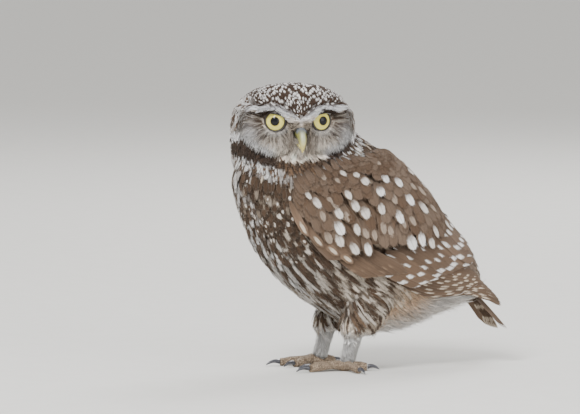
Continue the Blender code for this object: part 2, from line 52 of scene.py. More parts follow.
# The body's own map: distance along it and angle from the back's midline, 90 degrees at the left.
# Rows: back, height, tilt, half width, reach up, reach down.
bodyStations = (
    (-51.0, 134.0, 10.0, 13.0, 40.0, 32.0),
    (-49.0, 121.0, 14.0, 24.5, 49.0, 38.0),
    (-43.0, 108.0, 24.0, 32.5, 51.5, 40.5),
    (-33.0, 97.0, 35.0, 35.5, 50.5, 46.0),
    (-21.0, 88.0, 42.0, 36.5, 48.5, 49.5),
    (-2.3, 72.9, 43.0, 36.5, 45.5, 49.0),
    (13.5, 60.3, 43.0, 33.0, 40.0, 45.5),
    (26.7, 52.1, 43.0, 27.5, 35.0, 42.5),
    (42.1, 48.7, 43.0, 21.0, 26.5, 31.5),
    (57.6, 46.7, 43.0, 14.5, 13.5, 12.5),
    (72.2, 39.9, 43.0, 13.5, 6.5, 6.5),
    (86.8, 25.0, 43.0, 12.0, 4.0, 4.0),
)

headLook = {
    "centre": Vector((0.0, -49.0, 143.0)),
    "turn": math.radians(82.0),
    "eyeOut": 14.5,
    "eyeUp": 4.7,
    "brow": ((0.0, 4.0), (6.6, 8.2), (11.0, 10.9), (17.0, 12.0), (23.0, 12.3), (30.0, 12.6)),
}


def unit(rows):
    return rows / np.maximum(np.linalg.norm(rows, axis=-1, keepdims=True), 1e-12)


def ease(low, high, values):
    share = np.clip((np.asarray(values, float) - low) / (high - low), 0.0, 1.0)
    return share * share * (3 - 2 * share)


def blend(low, high, share):
    share = np.asarray(share)[..., None]
    return np.asarray(low) * (1 - share) + np.asarray(high) * share


def splineOf(knots, values):
    # natural cubic spline through rows of values, read at an array of places
    knots, values = np.asarray(knots, float), np.asarray(values, float)
    steps = np.diff(knots)
    count = len(knots)
    system, right = np.eye(count), np.zeros((count, values.shape[1]))
    for i in range(1, count - 1):
        system[i, i - 1 : i + 2] = steps[i - 1], 2 * (steps[i - 1] + steps[i]), steps[i]
        slopes = np.diff(values[i - 1 : i + 2], axis=0) / steps[i - 1 : i + 1, None]
        right[i] = 6 * (slopes[1] - slopes[0])
    bends = np.linalg.solve(system, right)

    def at(places):
        places = np.asarray(places, float)
        i = np.clip(np.searchsorted(knots, places) - 1, 0, count - 2)
        step = steps[i]
        low, high = ((knots[i + 1] - places) / step)[..., None], ((places - knots[i]) / step)[..., None]
        curve = (low**3 - low) * bends[i] + (high**3 - high) * bends[i + 1]
        return low * values[i] + high * values[i + 1] + curve * (step**2)[..., None] / 6

    return at


stationRows = np.array(bodyStations)
stationRows[:, 2] = np.radians(stationRows[:, 2])
stationReach = np.hypot(np.diff(stationRows[:, 0]), np.diff(stationRows[:, 1])).cumsum()
bodySection = splineOf(np.concatenate([[0.0], stationReach]) - stationReach[0], stationRows)


def onBody(along, angle):
    # a place on the body's outside, in mm, from mm along it and degrees round it
    angle = np.radians(angle)
    back, height, tilt, width, up, down = np.moveaxis(bodySection(along), -1, 0)
    reach = np.where(np.cos(angle) > 0, up, down) * np.cos(angle)
    return np.stack(
        [width * np.sin(angle), back + reach * np.cos(tilt), height + reach * np.sin(tilt)], axis=-1
    )


def bodyWays(along, angle):
    # unit ways along the body, round it and out of it
    lengthwise = unit(onBody(along + 0.5, angle) - onBody(along - 0.5, angle))
    roundWay = unit(onBody(along, angle + 0.6) - onBody(along, angle - 0.6))
    return lengthwise, roundWay, unit(np.cross(roundWay, lengthwise))


def offBody(along, angle, lift):
    return onBody(along, angle) + bodyWays(along, angle)[2] * np.asarray(lift)[..., None]


faceForward = np.array((math.sin(headLook["turn"]), -math.cos(headLook["turn"]), 0.0))
faceLeft = np.array((-faceForward[1], faceForward[0], 0.0))
faceWays = np.stack([faceForward, faceLeft, (0.0, 0.0, 1.0)])


def toHead(spots):
    # forward, left and up from the head's centre, in mm
    return (spots - np.array(headLook["centre"])) @ faceWays.T


def nearChain(places, corners):
    # distance from flat places to a chain of straight lines
    best = np.full(len(places), 1e3)
    for start, end in zip(corners[:-1], corners[1:]):
        start, line = np.array(start), np.array(end) - np.array(start)
        share = np.clip((places - start) @ line / (line @ line), 0, 1)
        best = np.minimum(best, np.linalg.norm(places - start - share[:, None] * line, axis=1))
    return best


# Shader building

class Wire:
    # one socket of a material, with arithmetic that adds Math nodes
    def __init__(self, tree, socket=None):
        self.tree = tree
        self.socket = socket

    def add(self, kind, settings=None, inputs=None, output=0):
        made = self.tree.nodes.new(kind)
        for name, value in (settings or {}).items():
            if name == "stops":
                ramp = made.color_ramp
                while len(ramp.elements) > 1:
                    ramp.elements.remove(ramp.elements[-1])
                for i, (place, colour) in enumerate(value):
                    stop = ramp.elements[0] if i == 0 else ramp.elements.new(place)
                    stop.position, stop.color = place, (*colour, 1.0)
            else:
                setattr(made, name, value)
        for name, value in (inputs or {}).items():
            if isinstance(value, Wire):
                self.tree.links.new(value.socket, made.inputs[name])
            else:
                made.inputs[name].default_value = value
        return Wire(self.tree, made.outputs[output])

    def maths(self, operation, *values):
        return self.add("ShaderNodeMath", {"operation": operation}, dict(enumerate(values)))

    def __add__(self, other):
        return self.maths("ADD", self, other)

    def __radd__(self, other):
        return self.maths("ADD", other, self)

    def __sub__(self, other):
        return self.maths("SUBTRACT", self, other)

    def __rsub__(self, other):
        return self.maths("SUBTRACT", other, self)

    def __mul__(self, other):
        return self.maths("MULTIPLY", self, other)

    def __rmul__(self, other):
        return self.maths("MULTIPLY", other, self)

    def __truediv__(self, other):
        return self.maths("DIVIDE", self, other)

    def __rtruediv__(self, other):
        return self.maths("DIVIDE", other, self)

    def __pow__(self, other):
        return self.maths("POWER", self, other)

    def __abs__(self):
        return self.maths("ABSOLUTE", self)

    def sine(self):
        return self.maths("SINE", self)

    def atLeast(self, other):
        return self.maths("MAXIMUM", self, other)

    def ramp(self, low, high):
        # 0 below low, 1 above high, smooth between
        inputs = {"Value": self, "From Min": low, "From Max": high}
        return self.add("ShaderNodeMapRange", {"interpolation_type": "SMOOTHSTEP"}, inputs)

    def mix(self, low, high, way="MIX"):
        # colours low to high by this factor
        low, high = [c if isinstance(c, Wire) else (*c, 1.0) for c in (low, high)]
        settings = {"data_type": "RGBA", "blend_type": way}
        return self.add("ShaderNodeMix", settings, {0: self, 6: low, 7: high}, 2)

    def parts(self):
        return [self.add("ShaderNodeSeparateXYZ", None, {0: self}, i) for i in range(3)]

    def noise(self, scale, detail=2.0, roughness=0.5, place=None):
        inputs = {"Scale": scale, "Detail": detail, "Roughness": roughness}
        inputs["Vector"] = place or self.add("ShaderNodeTexCoord", output=3)
        return self.add("ShaderNodeTexNoise", None, inputs)

    def vector(self, operation, other, output=0):
        return self.add("ShaderNodeVectorMath", {"operation": operation}, {0: self, 1: other}, output)

    def dot(self, other):
        return self.vector("DOT_PRODUCT", other, 1)

    def dimmed(self, light):
        # this colour at one brightness
        level = self.add("ShaderNodeCombineXYZ", None, {0: light, 1: light, 2: light})
        return self.vector("MULTIPLY", level)

    def length(self):
        return self.add("ShaderNodeVectorMath", {"operation": "LENGTH"}, {0: self}, 1)

    def attribute(self, name, output=0):
        return self.add("ShaderNodeAttribute", {"attribute_name": name}, None, output)

    def bump(self, height, depth, strength=1.0):
        inputs = {"Height": height, "Distance": depth, "Strength": strength}
        return self.add("ShaderNodeBump", None, inputs)

    def shade(self, material, **values):
        # feeds the surface shader, a constant on its own socket
        shader = material.node_tree.nodes["Principled BSDF"]
        for name, value in values.items():
            socket = shader.inputs[name.replace("_", " ")]
            if isinstance(value, Wire):
                self.tree.links.new(value.socket, socket)
            else:
                socket.default_value = value


def newMaterial(name):
    material = bpy.data.materials.new(name)
    material.use_nodes = True
    return material, Wire(material.node_tree)


def grained(name, look):
    # a finish of two tones with a fine grain in its gloss and its relief
    material, at = newMaterial(name)
    grain = at.noise(look["grain"], 4.0, look["harsh"])
    broad = at.noise(look["broad"]) if "broad" in look else grain
    values = dict(look.get("gloss", {}))
    if "relief" in look:
        values["Normal"] = at.bump(grain, look["relief"])
    rough = look["rough"][0] + look["rough"][1] * grain
    at.shade(material, Base_Color=broad.mix(*look["tones"]), Roughness=rough, **values)
    return material


# Colours of the plumage and the bare parts, in linear light

tint = {
    "umber": (0.062, 0.036, 0.024),
    "brown": (0.115, 0.069, 0.042),
    "hazel": (0.190, 0.118, 0.074),
    "greyBrown": (0.245, 0.195, 0.155),
    "rust": (0.225, 0.135, 0.078),
    "buff": (0.480, 0.330, 0.215),
    "cream": (0.640, 0.540, 0.430),
    "white": (0.800, 0.785, 0.770),
}
tint = {name: np.array(colour) for name, colour in tint.items()}


def plumageMaterial(name, look):
    # reads each feather's own map and the tones and marks kept with it
    material, at = newMaterial(name)
    across, along, _ = at.add("ShaderNodeUVMap", {"uv_map": "feather"}).parts()
    signed = across * 2.0 - 1.0
    offShaft = abs(signed)
    tone, mark = at.attribute("tone"), at.attribute("mark")
    spot, bars, _ = at.attribute("shape", 1).parts()
    spotAcross, spotAlong, barCount = at.attribute("place", 1).parts()
    luck, stretch, shadow = at.attribute("trim", 1).parts()

    ragged = at.noise(look["raggedScale"], 3.0, 0.6) - 0.5
    hairPlace = {0: signed * look["hairs"], 1: along * 1.6, 2: luck * 40.0}
    hairs = at.noise(1.0, 2.0, 0.6, at.add("ShaderNodeCombineXYZ", None, hairPlace))
    barb = ((along * look["barbs"] - offShaft * look["barbSlant"]) * math.tau).sine()

    fromSpot = (signed - spotAcross) ** 2.0 + ((along - spotAlong) * stretch) ** 2.0
    spotMask = (spot - fromSpot ** 0.5 + ragged * look["ragged"]).ramp(-0.10, 0.12) * spot.ramp(0.0, 0.02)
    spotMask = spotMask * (1.0 - 0.2 * (0.07 - offShaft).ramp(0.0, 0.06))
    spotMask = spotMask * (along + 0.42 - spotAlong + ragged * 0.3).ramp(0.0, 0.42)
    barWave = ((along * barCount + offShaft * 0.35 + luck) * math.tau).sine() + ragged * 1.9
    barMask = (signed * at.maths("SIGN", spotAcross) - abs(spotAcross)).ramp(0.0, 0.4)
    barMask = barWave.ramp(0.2, 0.9) * bars * barMask
    marks = spotMask.atLeast(barMask)

    rim = offShaft.ramp(0.62, 0.95).atLeast(along.ramp(0.86, 0.98)) * look["fringe"]
    colour = marks.mix(tone, mark)
    colour = rim.mix(colour, look["rim"])
    light = 0.72 + 0.30 * hairs + look["lucky"] * luck + 0.06 * barb
    light = light * (1.0 - shadow * (0.55 - along).ramp(0.0, 0.5))
    shaft = (0.045 - offShaft).ramp(0.0, 0.03) * look["shaft"]
    light = light * (1.0 - shaft)
    height = barb * 0.35 + hairs * 1.4 + shaft * 0.8
    at.shade(
        material,
        Base_Color=colour.dimmed(light),
        Roughness=look["roughness"] + 0.12 * hairs,
        Normal=at.bump(height, look["bump"]),
        Specular_IOR_Level=look["specular"],
        Sheen_Weight=look["sheen"],
        Sheen_Roughness=0.5,
    )
    return material


plumageLook = {
    "raggedScale": 900.0,
    "ragged": 0.55,
    "lucky": 0.24,
    "hairs": 5.0,
    "barbs": 18.0,
    "barbSlant": 5.0,
    "rim": (0.62, 0.54, 0.45),
    "fringe": 0.08,
    "shaft": 0.25,
    "roughness": 0.72,
    "specular": 0.15,
    "sheen": 0.04,
    "bump": 0.00012,
}
quillLook = {
    **plumageLook,
    "raggedScale": 700.0,
    "ragged": 0.35,
    "lucky": 0.16,
    "hairs": 8.0,
    "barbs": 40.0,
    "barbSlant": 9.0,
    "fringe": 0.05,
    "shaft": 0.3,
    "bump": 0.00016,
}
coatMaterial = plumageMaterial("plumage", plumageLook)
quillMaterial = plumageMaterial("quill_vanes", quillLook)


def feathered(tone, mark, luck, stretch, shadow, spot=0.0, web=0.0, spotAlong=0.74, bars=0.0, barCount=0.0):
    # the named values that the plumage materials read, one row for each feather
    def rows(*values):
        return np.stack([value + 0.0 * luck for value in values], axis=1)

    return {
        "tone": np.clip(tone, 0.004, 0.92),
        "mark": mark,
        "shape": rows(spot, bars, 0.0),
        "place": rows(web, spotAlong, barCount),
        "trim": rows(luck, stretch, shadow),
    }


# Meshes from arrays

def meshFrom(name, spots, faces, material, maps=None, tones=None, rims=None):
    # spots in mm; faces as rows of 3 or 4 corners, -1 where a row has only 3
    mesh = bpy.data.meshes.new(name)
    faces = np.asarray(faces)
    corners = faces[faces >= 0]
    sizes = (faces >= 0).sum(1)
    mesh.vertices.add(len(spots))
    mesh.loops.add(len(corners))
    mesh.polygons.add(len(faces))
    mesh.vertices.foreach_set("co", (spots * mm).astype(np.float32).ravel())
    mesh.loops.foreach_set("vertex_index", corners.astype(np.int32))
    mesh.polygons.foreach_set("loop_start", np.concatenate([[0], sizes.cumsum()[:-1]]).astype(np.int32))
    mesh.polygons.foreach_set("use_smooth", np.ones(len(faces), bool))
    mesh.update(calc_edges=True)
    for mapName, places in (maps or {}).items():
        layer = mesh.uv_layers.new(name=mapName)
        layer.data.foreach_set("uv", places[corners].astype(np.float32).ravel())
    for toneName, values in (tones or {}).items():
        colour = toneName in ("tone", "mark")
        layer = mesh.attributes.new(toneName, "FLOAT_COLOR" if colour else "FLOAT_VECTOR", "POINT")
        if colour:
            values = np.concatenate([values, np.ones((len(values), 1))], axis=1)
        layer.data.foreach_set("color" if colour else "vector", values.astype(np.float32).ravel())
    if rims is not None:
        ends = np.empty(len(mesh.edges) * 2, np.int32)
        mesh.edges.foreach_get("vertices", ends)
        sharp = mesh.attributes.new("sharp_edge", "BOOLEAN", "EDGE")
        sharp.data.foreach_set("value", rims[ends.reshape(-1, 2)].all(1))
    mesh.materials.append(material)
    piece = bpy.data.objects.new(name, mesh)
    bpy.context.scene.collection.objects.link(piece)
    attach(piece, "root")
    return piece


def vaneGrid(rows, columns, roundTip, split):
    # one blade of a feather: its places along and across, which layer, and its faces
    lines = []
    index = {}
    for layer in (0, 1):
        for i in range(rows + 1):
            for j in range(columns + 1):
                edge = i in (0, rows) or j in (0, columns)
                if layer and edge:
                    index[layer, i, j] = index[0, i, j]
                    continue
                index[layer, i, j] = len(lines)
                across = 2.0 * j / columns - 1.0
                share = i / rows
                along = share - roundTip * across * across * share**2
                if i == rows:
                    along -= split * (j % 2)
                lines.append((along, across, 0.0 if edge else 1.0 - 2.0 * layer, share))
    faces = []
    for i in range(rows):
        for j in range(columns):
            top = [index[0, i, j], index[0, i, j + 1], index[0, i + 1, j + 1], index[0, i + 1, j]]
            low = [index[1, i, j], index[1, i + 1, j], index[1, i + 1, j + 1], index[1, i, j + 1]]
            faces += [top, low]
    return np.array(lines), np.array(faces)


def hairGrid(rows):
    # a thin blade of three sides
    lines = [(i / rows, across, side, i / rows) for i in range(rows)
             for across, side in ((-1.0, 0.0), (1.0, 0.0), (0.0, 1.0))]
    lines.append((1.0, 0.0, 0.0, 1.0))
    tip = len(lines) - 1
    faces = [[2, 1, 0, -1]]
    for i in range(rows):
        for j in range(3):
            a, b = 3 * i + j, 3 * i + (j + 1) % 3
            faces.append([a, b, tip, -1] if i == rows - 1 else [a, b, b + 3, a + 3])
    return np.array(lines), np.array(faces)


def readRows(rows, share):
    # rows (feathers, steps, 3) read at shares of their length
    steps = rows.shape[1] - 1
    place = np.clip(share, 0, 1) * steps
    i = np.minimum(place.astype(int), steps - 1)
    part = (place - i)[None, :, None]
    return rows[:, i] * (1 - part) + rows[:, i + 1] * part


def growVanes(look, paths, outs, halfWidths):
    # spots of many blades that follow their paths, (feathers, points, 3) in mm
    lines, faces = look["grid"]
    along, across, layer, share = lines.T
    middle, out = readRows(paths, along), unit(readRows(outs, along))
    before, after = readRows(paths, along - 0.04), readRows(paths, along + 0.04)
    side = unit(np.cross(unit(after - before), out))
    wide = np.interp(np.clip(along, 0, 1), *look["outline"])
    off = halfWidths[:, None] * wide[None, :] * across[None, :]
    lift = -look.get("camber", 0.25) * halfWidths[:, None] * (across * wide)[None, :] ** 2
    lift = lift + layer[None, :] * look["thickness"] * 0.5 * (1.0 - 0.5 * along[None, :])
    if "ruffle" in look:
        lift = lift + look["ruffle"] * np.sin(across * 7.0 + along * 9.0)[None, :] * along[None, :]
    spots = middle + side * off[..., None] + out * lift[..., None]
    offsets = (np.arange(len(paths)) * len(lines))[:, None, None]
    many = np.where(faces[None] >= 0, faces[None] + offsets, -1)
    ownMap = np.stack([0.5 + 0.5 * across, np.clip(along, 0, 1)], axis=-1)
    return spots.reshape(-1, 3), many.reshape(-1, 4), np.tile(ownMap, (len(paths), 1)), len(lines)


def growBarbs(look, paths, outs, halfWidths):
    # loose barbs along the edges and the tip of each vane, three-sided and pointed
    barbs, count = look["barbs"], len(paths)
    edge = np.linspace(barbs.get("from", 0.45), 0.93, barbs["edge"])
    tip = np.linspace(-0.75, 0.75, barbs["tip"])
    along = np.concatenate([edge, edge + 0.02, 0.94 - 0.1 * tip**2])
    across = np.concatenate([0 * edge - 0.86, 0 * edge + 0.86, tip])
    shape = (count, len(along))
    share = np.clip(along + chance.normal(0, 0.025, shape), 0.02, 0.97)
    cross = across + chance.normal(0, 0.05, shape)
    steps = paths.shape[1] - 1
    i = np.minimum((share * steps).astype(int), steps - 1)
    part = (share * steps - i)[..., None]
    rows = np.arange(count)[:, None]
    middle = paths[rows, i] * (1 - part) + paths[rows, i + 1] * part
    tangent = unit(paths[rows, i + 1] - paths[rows, i])
    out = unit(outs[rows, i] * (1 - part) + outs[rows, i + 1] * part)
    side = unit(np.cross(tangent, out))
    wide = np.interp(share, *look["outline"]) * halfWidths[:, None]
    turn = np.radians(barbs.get("spread", 32.0)) * cross * (1.15 - 0.6 * share)
    turn = turn + chance.normal(0, 0.12, shape)
    way = unit(tangent * np.cos(turn)[..., None] + side * np.sin(turn)[..., None]
               + out * chance.normal(0.06, 0.05, shape)[..., None])
    length = barbs["length"] * (1 + chance.normal(0, 0.25, shape))
    root = middle + side * (wide * cross * 0.92)[..., None] - way * (0.25 * length)[..., None]
    flat = unit(np.cross(way, out)) * barbs.get("width", 0.3) / 2
    spots = np.stack([root + flat, root - flat, root + out * 0.16, root + way * length[..., None]], axis=2)
    base = (np.arange(count * len(along)) * 4)[:, None, None]
    faces = np.array([[0, 1, 2, -1], [0, 3, 1, -1], [1, 3, 2, -1], [2, 3, 0, -1]])[None]
    faces = np.where(faces >= 0, faces + base, -1)
    place = np.stack([0.5 + 0.5 * np.clip(cross, -1, 1), share], axis=-1)
    ownMap = np.repeat(place[:, :, None], 4, axis=2).reshape(-1, 2)
    return spots.reshape(-1, 3), faces.reshape(-1, 4), ownMap, len(along) * 4


def featherMesh(name, look, paths, outs, halfWidths, tones, roots, patch, material):
    # vanes, with their barbs, as one piece; roots and patch place each on the bake's map
    spots, faces, ownMap, count = growVanes(look, paths, outs, halfWidths)
    owners = np.repeat(np.arange(len(paths)), count)
    # the two faces of a vane meet in a sharp rim
    layer = look["grid"][0][:, 2]
    rims = np.tile((layer == 0) & (layer.min() < 0), len(paths))
    if "barbs" in look:
        more = growBarbs(look, paths, outs, halfWidths)
        faces = np.concatenate([faces, np.where(more[1] >= 0, more[1] + len(spots), -1)])
        spots, ownMap = np.concatenate([spots, more[0]]), np.concatenate([ownMap, more[2]])
        owners = np.concatenate([owners, np.repeat(np.arange(len(paths)), more[3])])
        rims = np.concatenate([rims, np.zeros(len(more[0]), bool)])
    maps = {"OFBake": np.asarray(roots)[owners] + (ownMap - 0.5) * patch, "feather": ownMap}
    tones = {key: np.asarray(values)[owners] for key, values in tones.items()}
    return meshFrom(name, spots, faces, material, maps, tones, rims)


# Skin: one closed surface inside the plumage, from the solids of head, neck, torso and legs

skinLook = {
    "nodes": ("head", "neck", "torso", "thigh_left", "thigh_right", "shank_left", "shank_right"),
    "fatten": 0.0004,  # in metres, as is the voxel
    "voxel": 0.0011,
    "smooth": 8,
    "depth": 2.1,  # how far the skin lies under the solids' surface
    "faceDepth": 1.1,
    "legDepth": 1.0,
}


def nodeCopy(node, name):
    piece = bpy.data.objects.new(name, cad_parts[node].data.copy())
    bpy.context.scene.collection.objects.link(piece)
    piece.data.materials.clear()
    return piece


def only(*pieces):
    bpy.ops.object.select_all(action="DESELECT")
    for piece in pieces:
        piece.select_set(True)
    bpy.context.view_layer.objects.active = pieces[0]


def applyAll(piece):
    only(piece)
    for modifier in list(piece.modifiers):
        bpy.ops.object.modifier_apply(modifier=modifier.name)


def welded(piece):
    only(piece)
    bpy.ops.object.mode_set(mode="EDIT")
    bpy.ops.mesh.select_all(action="SELECT")
    bpy.ops.mesh.remove_doubles(threshold=0.00001)
    bpy.ops.object.mode_set(mode="OBJECT")
    return piece


def spotsOf(mesh):
    spots = np.empty(len(mesh.vertices) * 3, np.float32)
    mesh.vertices.foreach_get("co", spots)
    return spots.reshape(-1, 3).astype(float) / mm


def normalsOf(mesh):
    normals = np.empty(len(mesh.vertices) * 3, np.float32)
    mesh.vertices.foreach_get("normal", normals)
    return normals.reshape(-1, 3).astype(float)


def setSpots(mesh, spots):
    mesh.vertices.foreach_set("co", (spots * mm).astype(np.float32).ravel())
    mesh.update()


def remeshed(piece, voxel, smooth):
    remesh = piece.modifiers.new("even", "REMESH")
    remesh.mode = "VOXEL"
    remesh.voxel_size = voxel
    remesh.use_smooth_shade = True
    soften = piece.modifiers.new("soft", "SMOOTH")
    soften.factor = 0.5
    soften.iterations = smooth
    applyAll(piece)
    return piece


def largestOnly(piece):
    mesh = bmesh.new()
    mesh.from_mesh(piece.data)
    seen, groups = set(), []
    for start in mesh.verts:
        if start in seen:
            continue
        group, todo = [], [start]
        seen.add(start)
        while todo:
            vertex = todo.pop()
            group.append(vertex)
            for edge in vertex.link_edges:
                other = edge.other_vert(vertex)
                if other not in seen:
                    seen.add(other)
                    todo.append(other)
        groups.append(group)
    keep = max(groups, key=len)
    for group in groups:
        if group is not keep:
            bmesh.ops.delete(mesh, geom=group, context="VERTS")
    mesh.to_mesh(piece.data)
    mesh.free()


def makeSkin():
    copies = [welded(nodeCopy(node, "skin")) for node in skinLook["nodes"]]
    for copy in copies:
        setSpots(copy.data, spotsOf(copy.data) + normalsOf(copy.data) * skinLook["fatten"] / mm)
    only(*copies)
    bpy.ops.object.join()
    skin = copies[0]
    remeshed(skin, skinLook["voxel"], skinLook["smooth"])
    largestOnly(skin)
    return skin


skin = makeSkin()
outer = spotsOf(skin.data)
outerNormals = normalsOf(skin.data)
print("skin surface:", len(outer), "points")

# Where each place on the skin is: on the body's map, on the head or on a leg

gridAlong = np.arange(-14.0, 140.0, 1.5)
gridAngle = np.arange(-180.0, 180.0, 3.0)
mapAlong, mapAngle = [grid.ravel() for grid in np.meshgrid(gridAlong, gridAngle, indexing="ij")]
mapSpots = onBody(mapAlong, mapAngle)
mapTree = kdtree.KDTree(len(mapSpots))
for i, spot in enumerate(mapSpots):
    mapTree.insert(spot, i)
mapTree.balance()


def bodyPlace(spots):
    found = [mapTree.find(spot) for spot in spots]
    index = np.array([item[1] for item in found])
    return mapAlong[index], mapAngle[index], np.array([item[2] for item in found])


legAxes = [np.array(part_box("shank_" + side)).mean(0) / mm for side in ("right", "left")]


def describe(spots):
    # everything that the coat and its colours depend on, for places on the skin
    along, angle, offMap = bodyPlace(spots)
    head = toHead(spots)
    forward, left, up = head.T
    height = spots[:, 2]
    axes = np.array(legAxes)[np.where(spots[:, 0] > 0, 1, 0)]
    fromAxis = np.linalg.norm(spots[:, :2] - axes[:, :2], axis=1)
    headness = ease(1.6, 4.0, offMap) * (height > 95) * (up > -42)
    headness = headness * np.maximum(ease(-30.0, -25.0, up), forward > -5)
    headness = np.maximum(headness, ease(-15.0, -12.0, up) * (forward > -26))
    flat = np.stack([np.abs(left), up], axis=1)
    toEye = flat - np.array([headLook["eyeOut"], headLook["eyeUp"]])
    return {
        "spots": spots,
        "along": along,
        "angle": angle,
        "head": head,
        "axis": axes,
        "headness": headness,
        "legness": ease(1.8, 4.0, offMap) * (height < 60),
        "shankness": ease(25.0, 21.0, height) * (fromAxis < 14),
        "toEye": toEye,
        "eyeGap": np.linalg.norm(toEye, axis=1),
        "browGap": nearChain(flat, headLook["brow"]),
        "browLine": np.interp(flat[:, 0], *np.array(headLook["brow"]).T),
        "facing": ease(2.0, 9.0, forward + 0.25 * np.maximum(0, 26 - np.abs(left)) - 2),
    }


def browness(at):
    return ease(3.0, 1.6, at["browGap"]) * at["facing"]


def lieOf(at):
    # the way the coat lies at each place
    lengthwise = bodyWays(at["along"], at["angle"])[0]
    forward, left, up = at["head"].T
    toEye, facing = at["toEye"], at["facing"]
    side = np.sign(left) + (left == 0)
    none = 0 * left
    radial = unit(np.stack([none - 0.2, toEye[:, 0] * side, toEye[:, 1]], axis=1))
    crownSide, crownRise = 0.25 * side * ease(2, 20, np.abs(left)), 0.15 + 1.6 * ease(0, 14, forward)
    crown = np.stack([none - 1.0, crownSide, crownRise], axis=1)
    back = np.stack([none - 0.5, 0.1 * side, none - 1.0], axis=1)
    beard = np.stack([none + 0.1, 0.45 * side * ease(0, 5, np.abs(left)), none - 1.0], axis=1)
    onCrown = ease(-0.5, 2.5, up - at["browLine"]) * ease(-28.0, -12.0, forward)
    way = blend(back, beard, ease(-4.0, 6.0, forward))
    way = blend(way, crown, onCrown)
    onFace = facing * ease(18.0, 13.0, at["eyeGap"]) * (1 - onCrown)
    way = blend(way, radial, onFace)
    nearBill = ease(8.0, 3.0, np.hypot(left, up + 6)) * facing
    way = blend(way, beard, nearBill)
    alongBrow = np.stack([none + 0.25, side * 1.0, 0.40 - 0.5 * ease(6, 16, np.abs(left))], axis=1)
    way = blend(way, alongBrow, browness(at))
    way = blend(lengthwise, unit(way) @ faceWays, at["headness"])
    down = np.stack([none, none + 0.25, none - 1.0], axis=1)
    way = blend(way, down, np.maximum(at["legness"], at["shankness"]))
    return unit(way)


def patchy(spots, size, turn=0.0):
    # smooth uneven values, about -1 to 1, over places in mm
    x, y, z = (spots / size).T
    first = np.sin(x * 2.1 + 1.7 * np.sin(y * 1.3 + turn))
    second = np.sin(y * 1.9 + 1.4 * np.sin(z * 1.5 + turn * 2))
    return (first + second + np.sin(z * 2.3 + 1.6 * np.sin(x * 1.7 - turn))) / 3


def bodyPlumage(at, pick):
    spots, along, angle = at["spots"], at["along"], np.abs(at["angle"])
    backness = ease(92.0, 72.0, angle + 20 * ease(26.0, 0.0, along)) * ease(134, 126, along)
    # upper breast: brown with white drops; lower: cream between long wavy brown streaks
    lowerShare = ease(14.0, 50.0, along + 0.10 * (angle - 110) + 8 * patchy(spots, 7))
    lower = (pick < 0.10 + 0.90 * lowerShare).astype(float)
    dark = blend(tint["brown"] * 0.45, tint["hazel"] * 0.42, 0.5 + 0.5 * patchy(spots, 9, 1.0))
    frontEdge = ease(150, 172, angle) * (pick < 0.5)
    dark = blend(dark, tint["white"] * 0.8, frontEdge)
    around = 0.56 * at["angle"] + 1.6 * np.sin(along / 7.0 + at["angle"] / 9.0) + 1.2 * patchy(spots, 8, 2.0)
    streaky = np.sin(around * 1.18) + 0.12 * patchy(spots, 6.5, 1.0) + 0.15 * (pick - 0.5)
    flank = ease(118, 98, angle) * ease(40, 60, along)
    brownShare = ease(-0.25, 0.1, streaky + 0.30 * flank - 0.35 * ease(150, 175, angle))
    whiteness = ease(120, 165, angle) * 0.7 + 0.3 * ease(-0.5, 0.5, patchy(spots, 9, 2.0))
    pale = blend(tint["cream"] * 0.72, tint["white"] * 0.74, whiteness)
    pale = blend(pale, tint["buff"], 0.35 * flank)
    below = blend(pale, blend(tint["brown"] * 0.42, tint["hazel"] * 0.42, pick), brownShare)
    breast = blend(dark, below, lower)
    mark = np.tile(blend(tint["cream"], tint["white"], 0.4) * 0.8, (len(along), 1))
    vent = ease(84.0, 94.0, along + 6 * patchy(spots, 14)) * ease(82.0, 96.0, angle)
    ventPale = blend(tint["white"], tint["cream"], 0.3) * 1.18
    ventTone = blend(tint["buff"] * 1.75, ventPale, ease(98.0, 120.0, along + 0.30 * (angle - 110)))
    ventTone = ventTone * (1 - 0.28 * ease(0.1, 0.7, patchy(spots, 3.0, 1.0)))[:, None]
    breast = blend(breast, ventTone, vent)
    mantlePale = blend(tint["hazel"], tint["greyBrown"], 0.5)
    mantle = blend(tint["brown"] * 1.2, mantlePale, 0.5 + 0.5 * patchy(spots, 12, 3.0))
    mantle = blend(mantle, tint["greyBrown"], ease(98.0, 118.0, along) * 0.6)
    mottle = ease(9.0, 3.0, along) * (pick < 0.55)
    mantle = blend(mantle, tint["white"] * 0.9, mottle)
    tone = blend(breast, mantle, backness)
    spot = (1 - lower) * 0.66 * (1 - backness) * (1 - vent) + 0.5 * backness * ease(8.0, 16.0, along)
    leg = at["legness"]
    legTurn = np.arctan2(spots[:, 0] - at["axis"][:, 0], spots[:, 1] - at["axis"][:, 1])
    stripe = np.sin(9 * legTurn + 1.2 * np.sin(spots[:, 2] / 5.0) + 0.8 * patchy(spots, 6))
    legTone = blend(tint["cream"] * 1.1, tint["white"] * 1.12, ease(36.0, 24.0, spots[:, 2]))
    legTone = blend(legTone, tint["brown"] * 0.75, ease(0.0, 0.35, stripe) * ease(25.0, 31.0, spots[:, 2]))
    return blend(tone, legTone, leg), mark, spot * (1 - leg)


# the dark collar's edges: mm out from the bill, and mm up from the head's centre
collarLook = {
    "top": ((0, 5, 10, 16, 20, 26, 30, 33, 36, 40),
            (-16.6, -16.2, -15.2, -13.2, -11.6, -8.2, -5.4, -3.4, -1.4, 0.0)),
    "baseLeft": ((0, 6, 13, 20, 26, 30, 36, 40),
                 (-24.5, -24.0, -20.5, -16.6, -12.8, -9.6, -4.0, -2.0)),
    "baseRight": ((0, 6, 13, 20, 26, 30, 33, 36, 40),
                  (-24.5, -23.5, -21.0, -18.4, -16.0, -14.4, -12.8, -10.4, -8.4)),
}


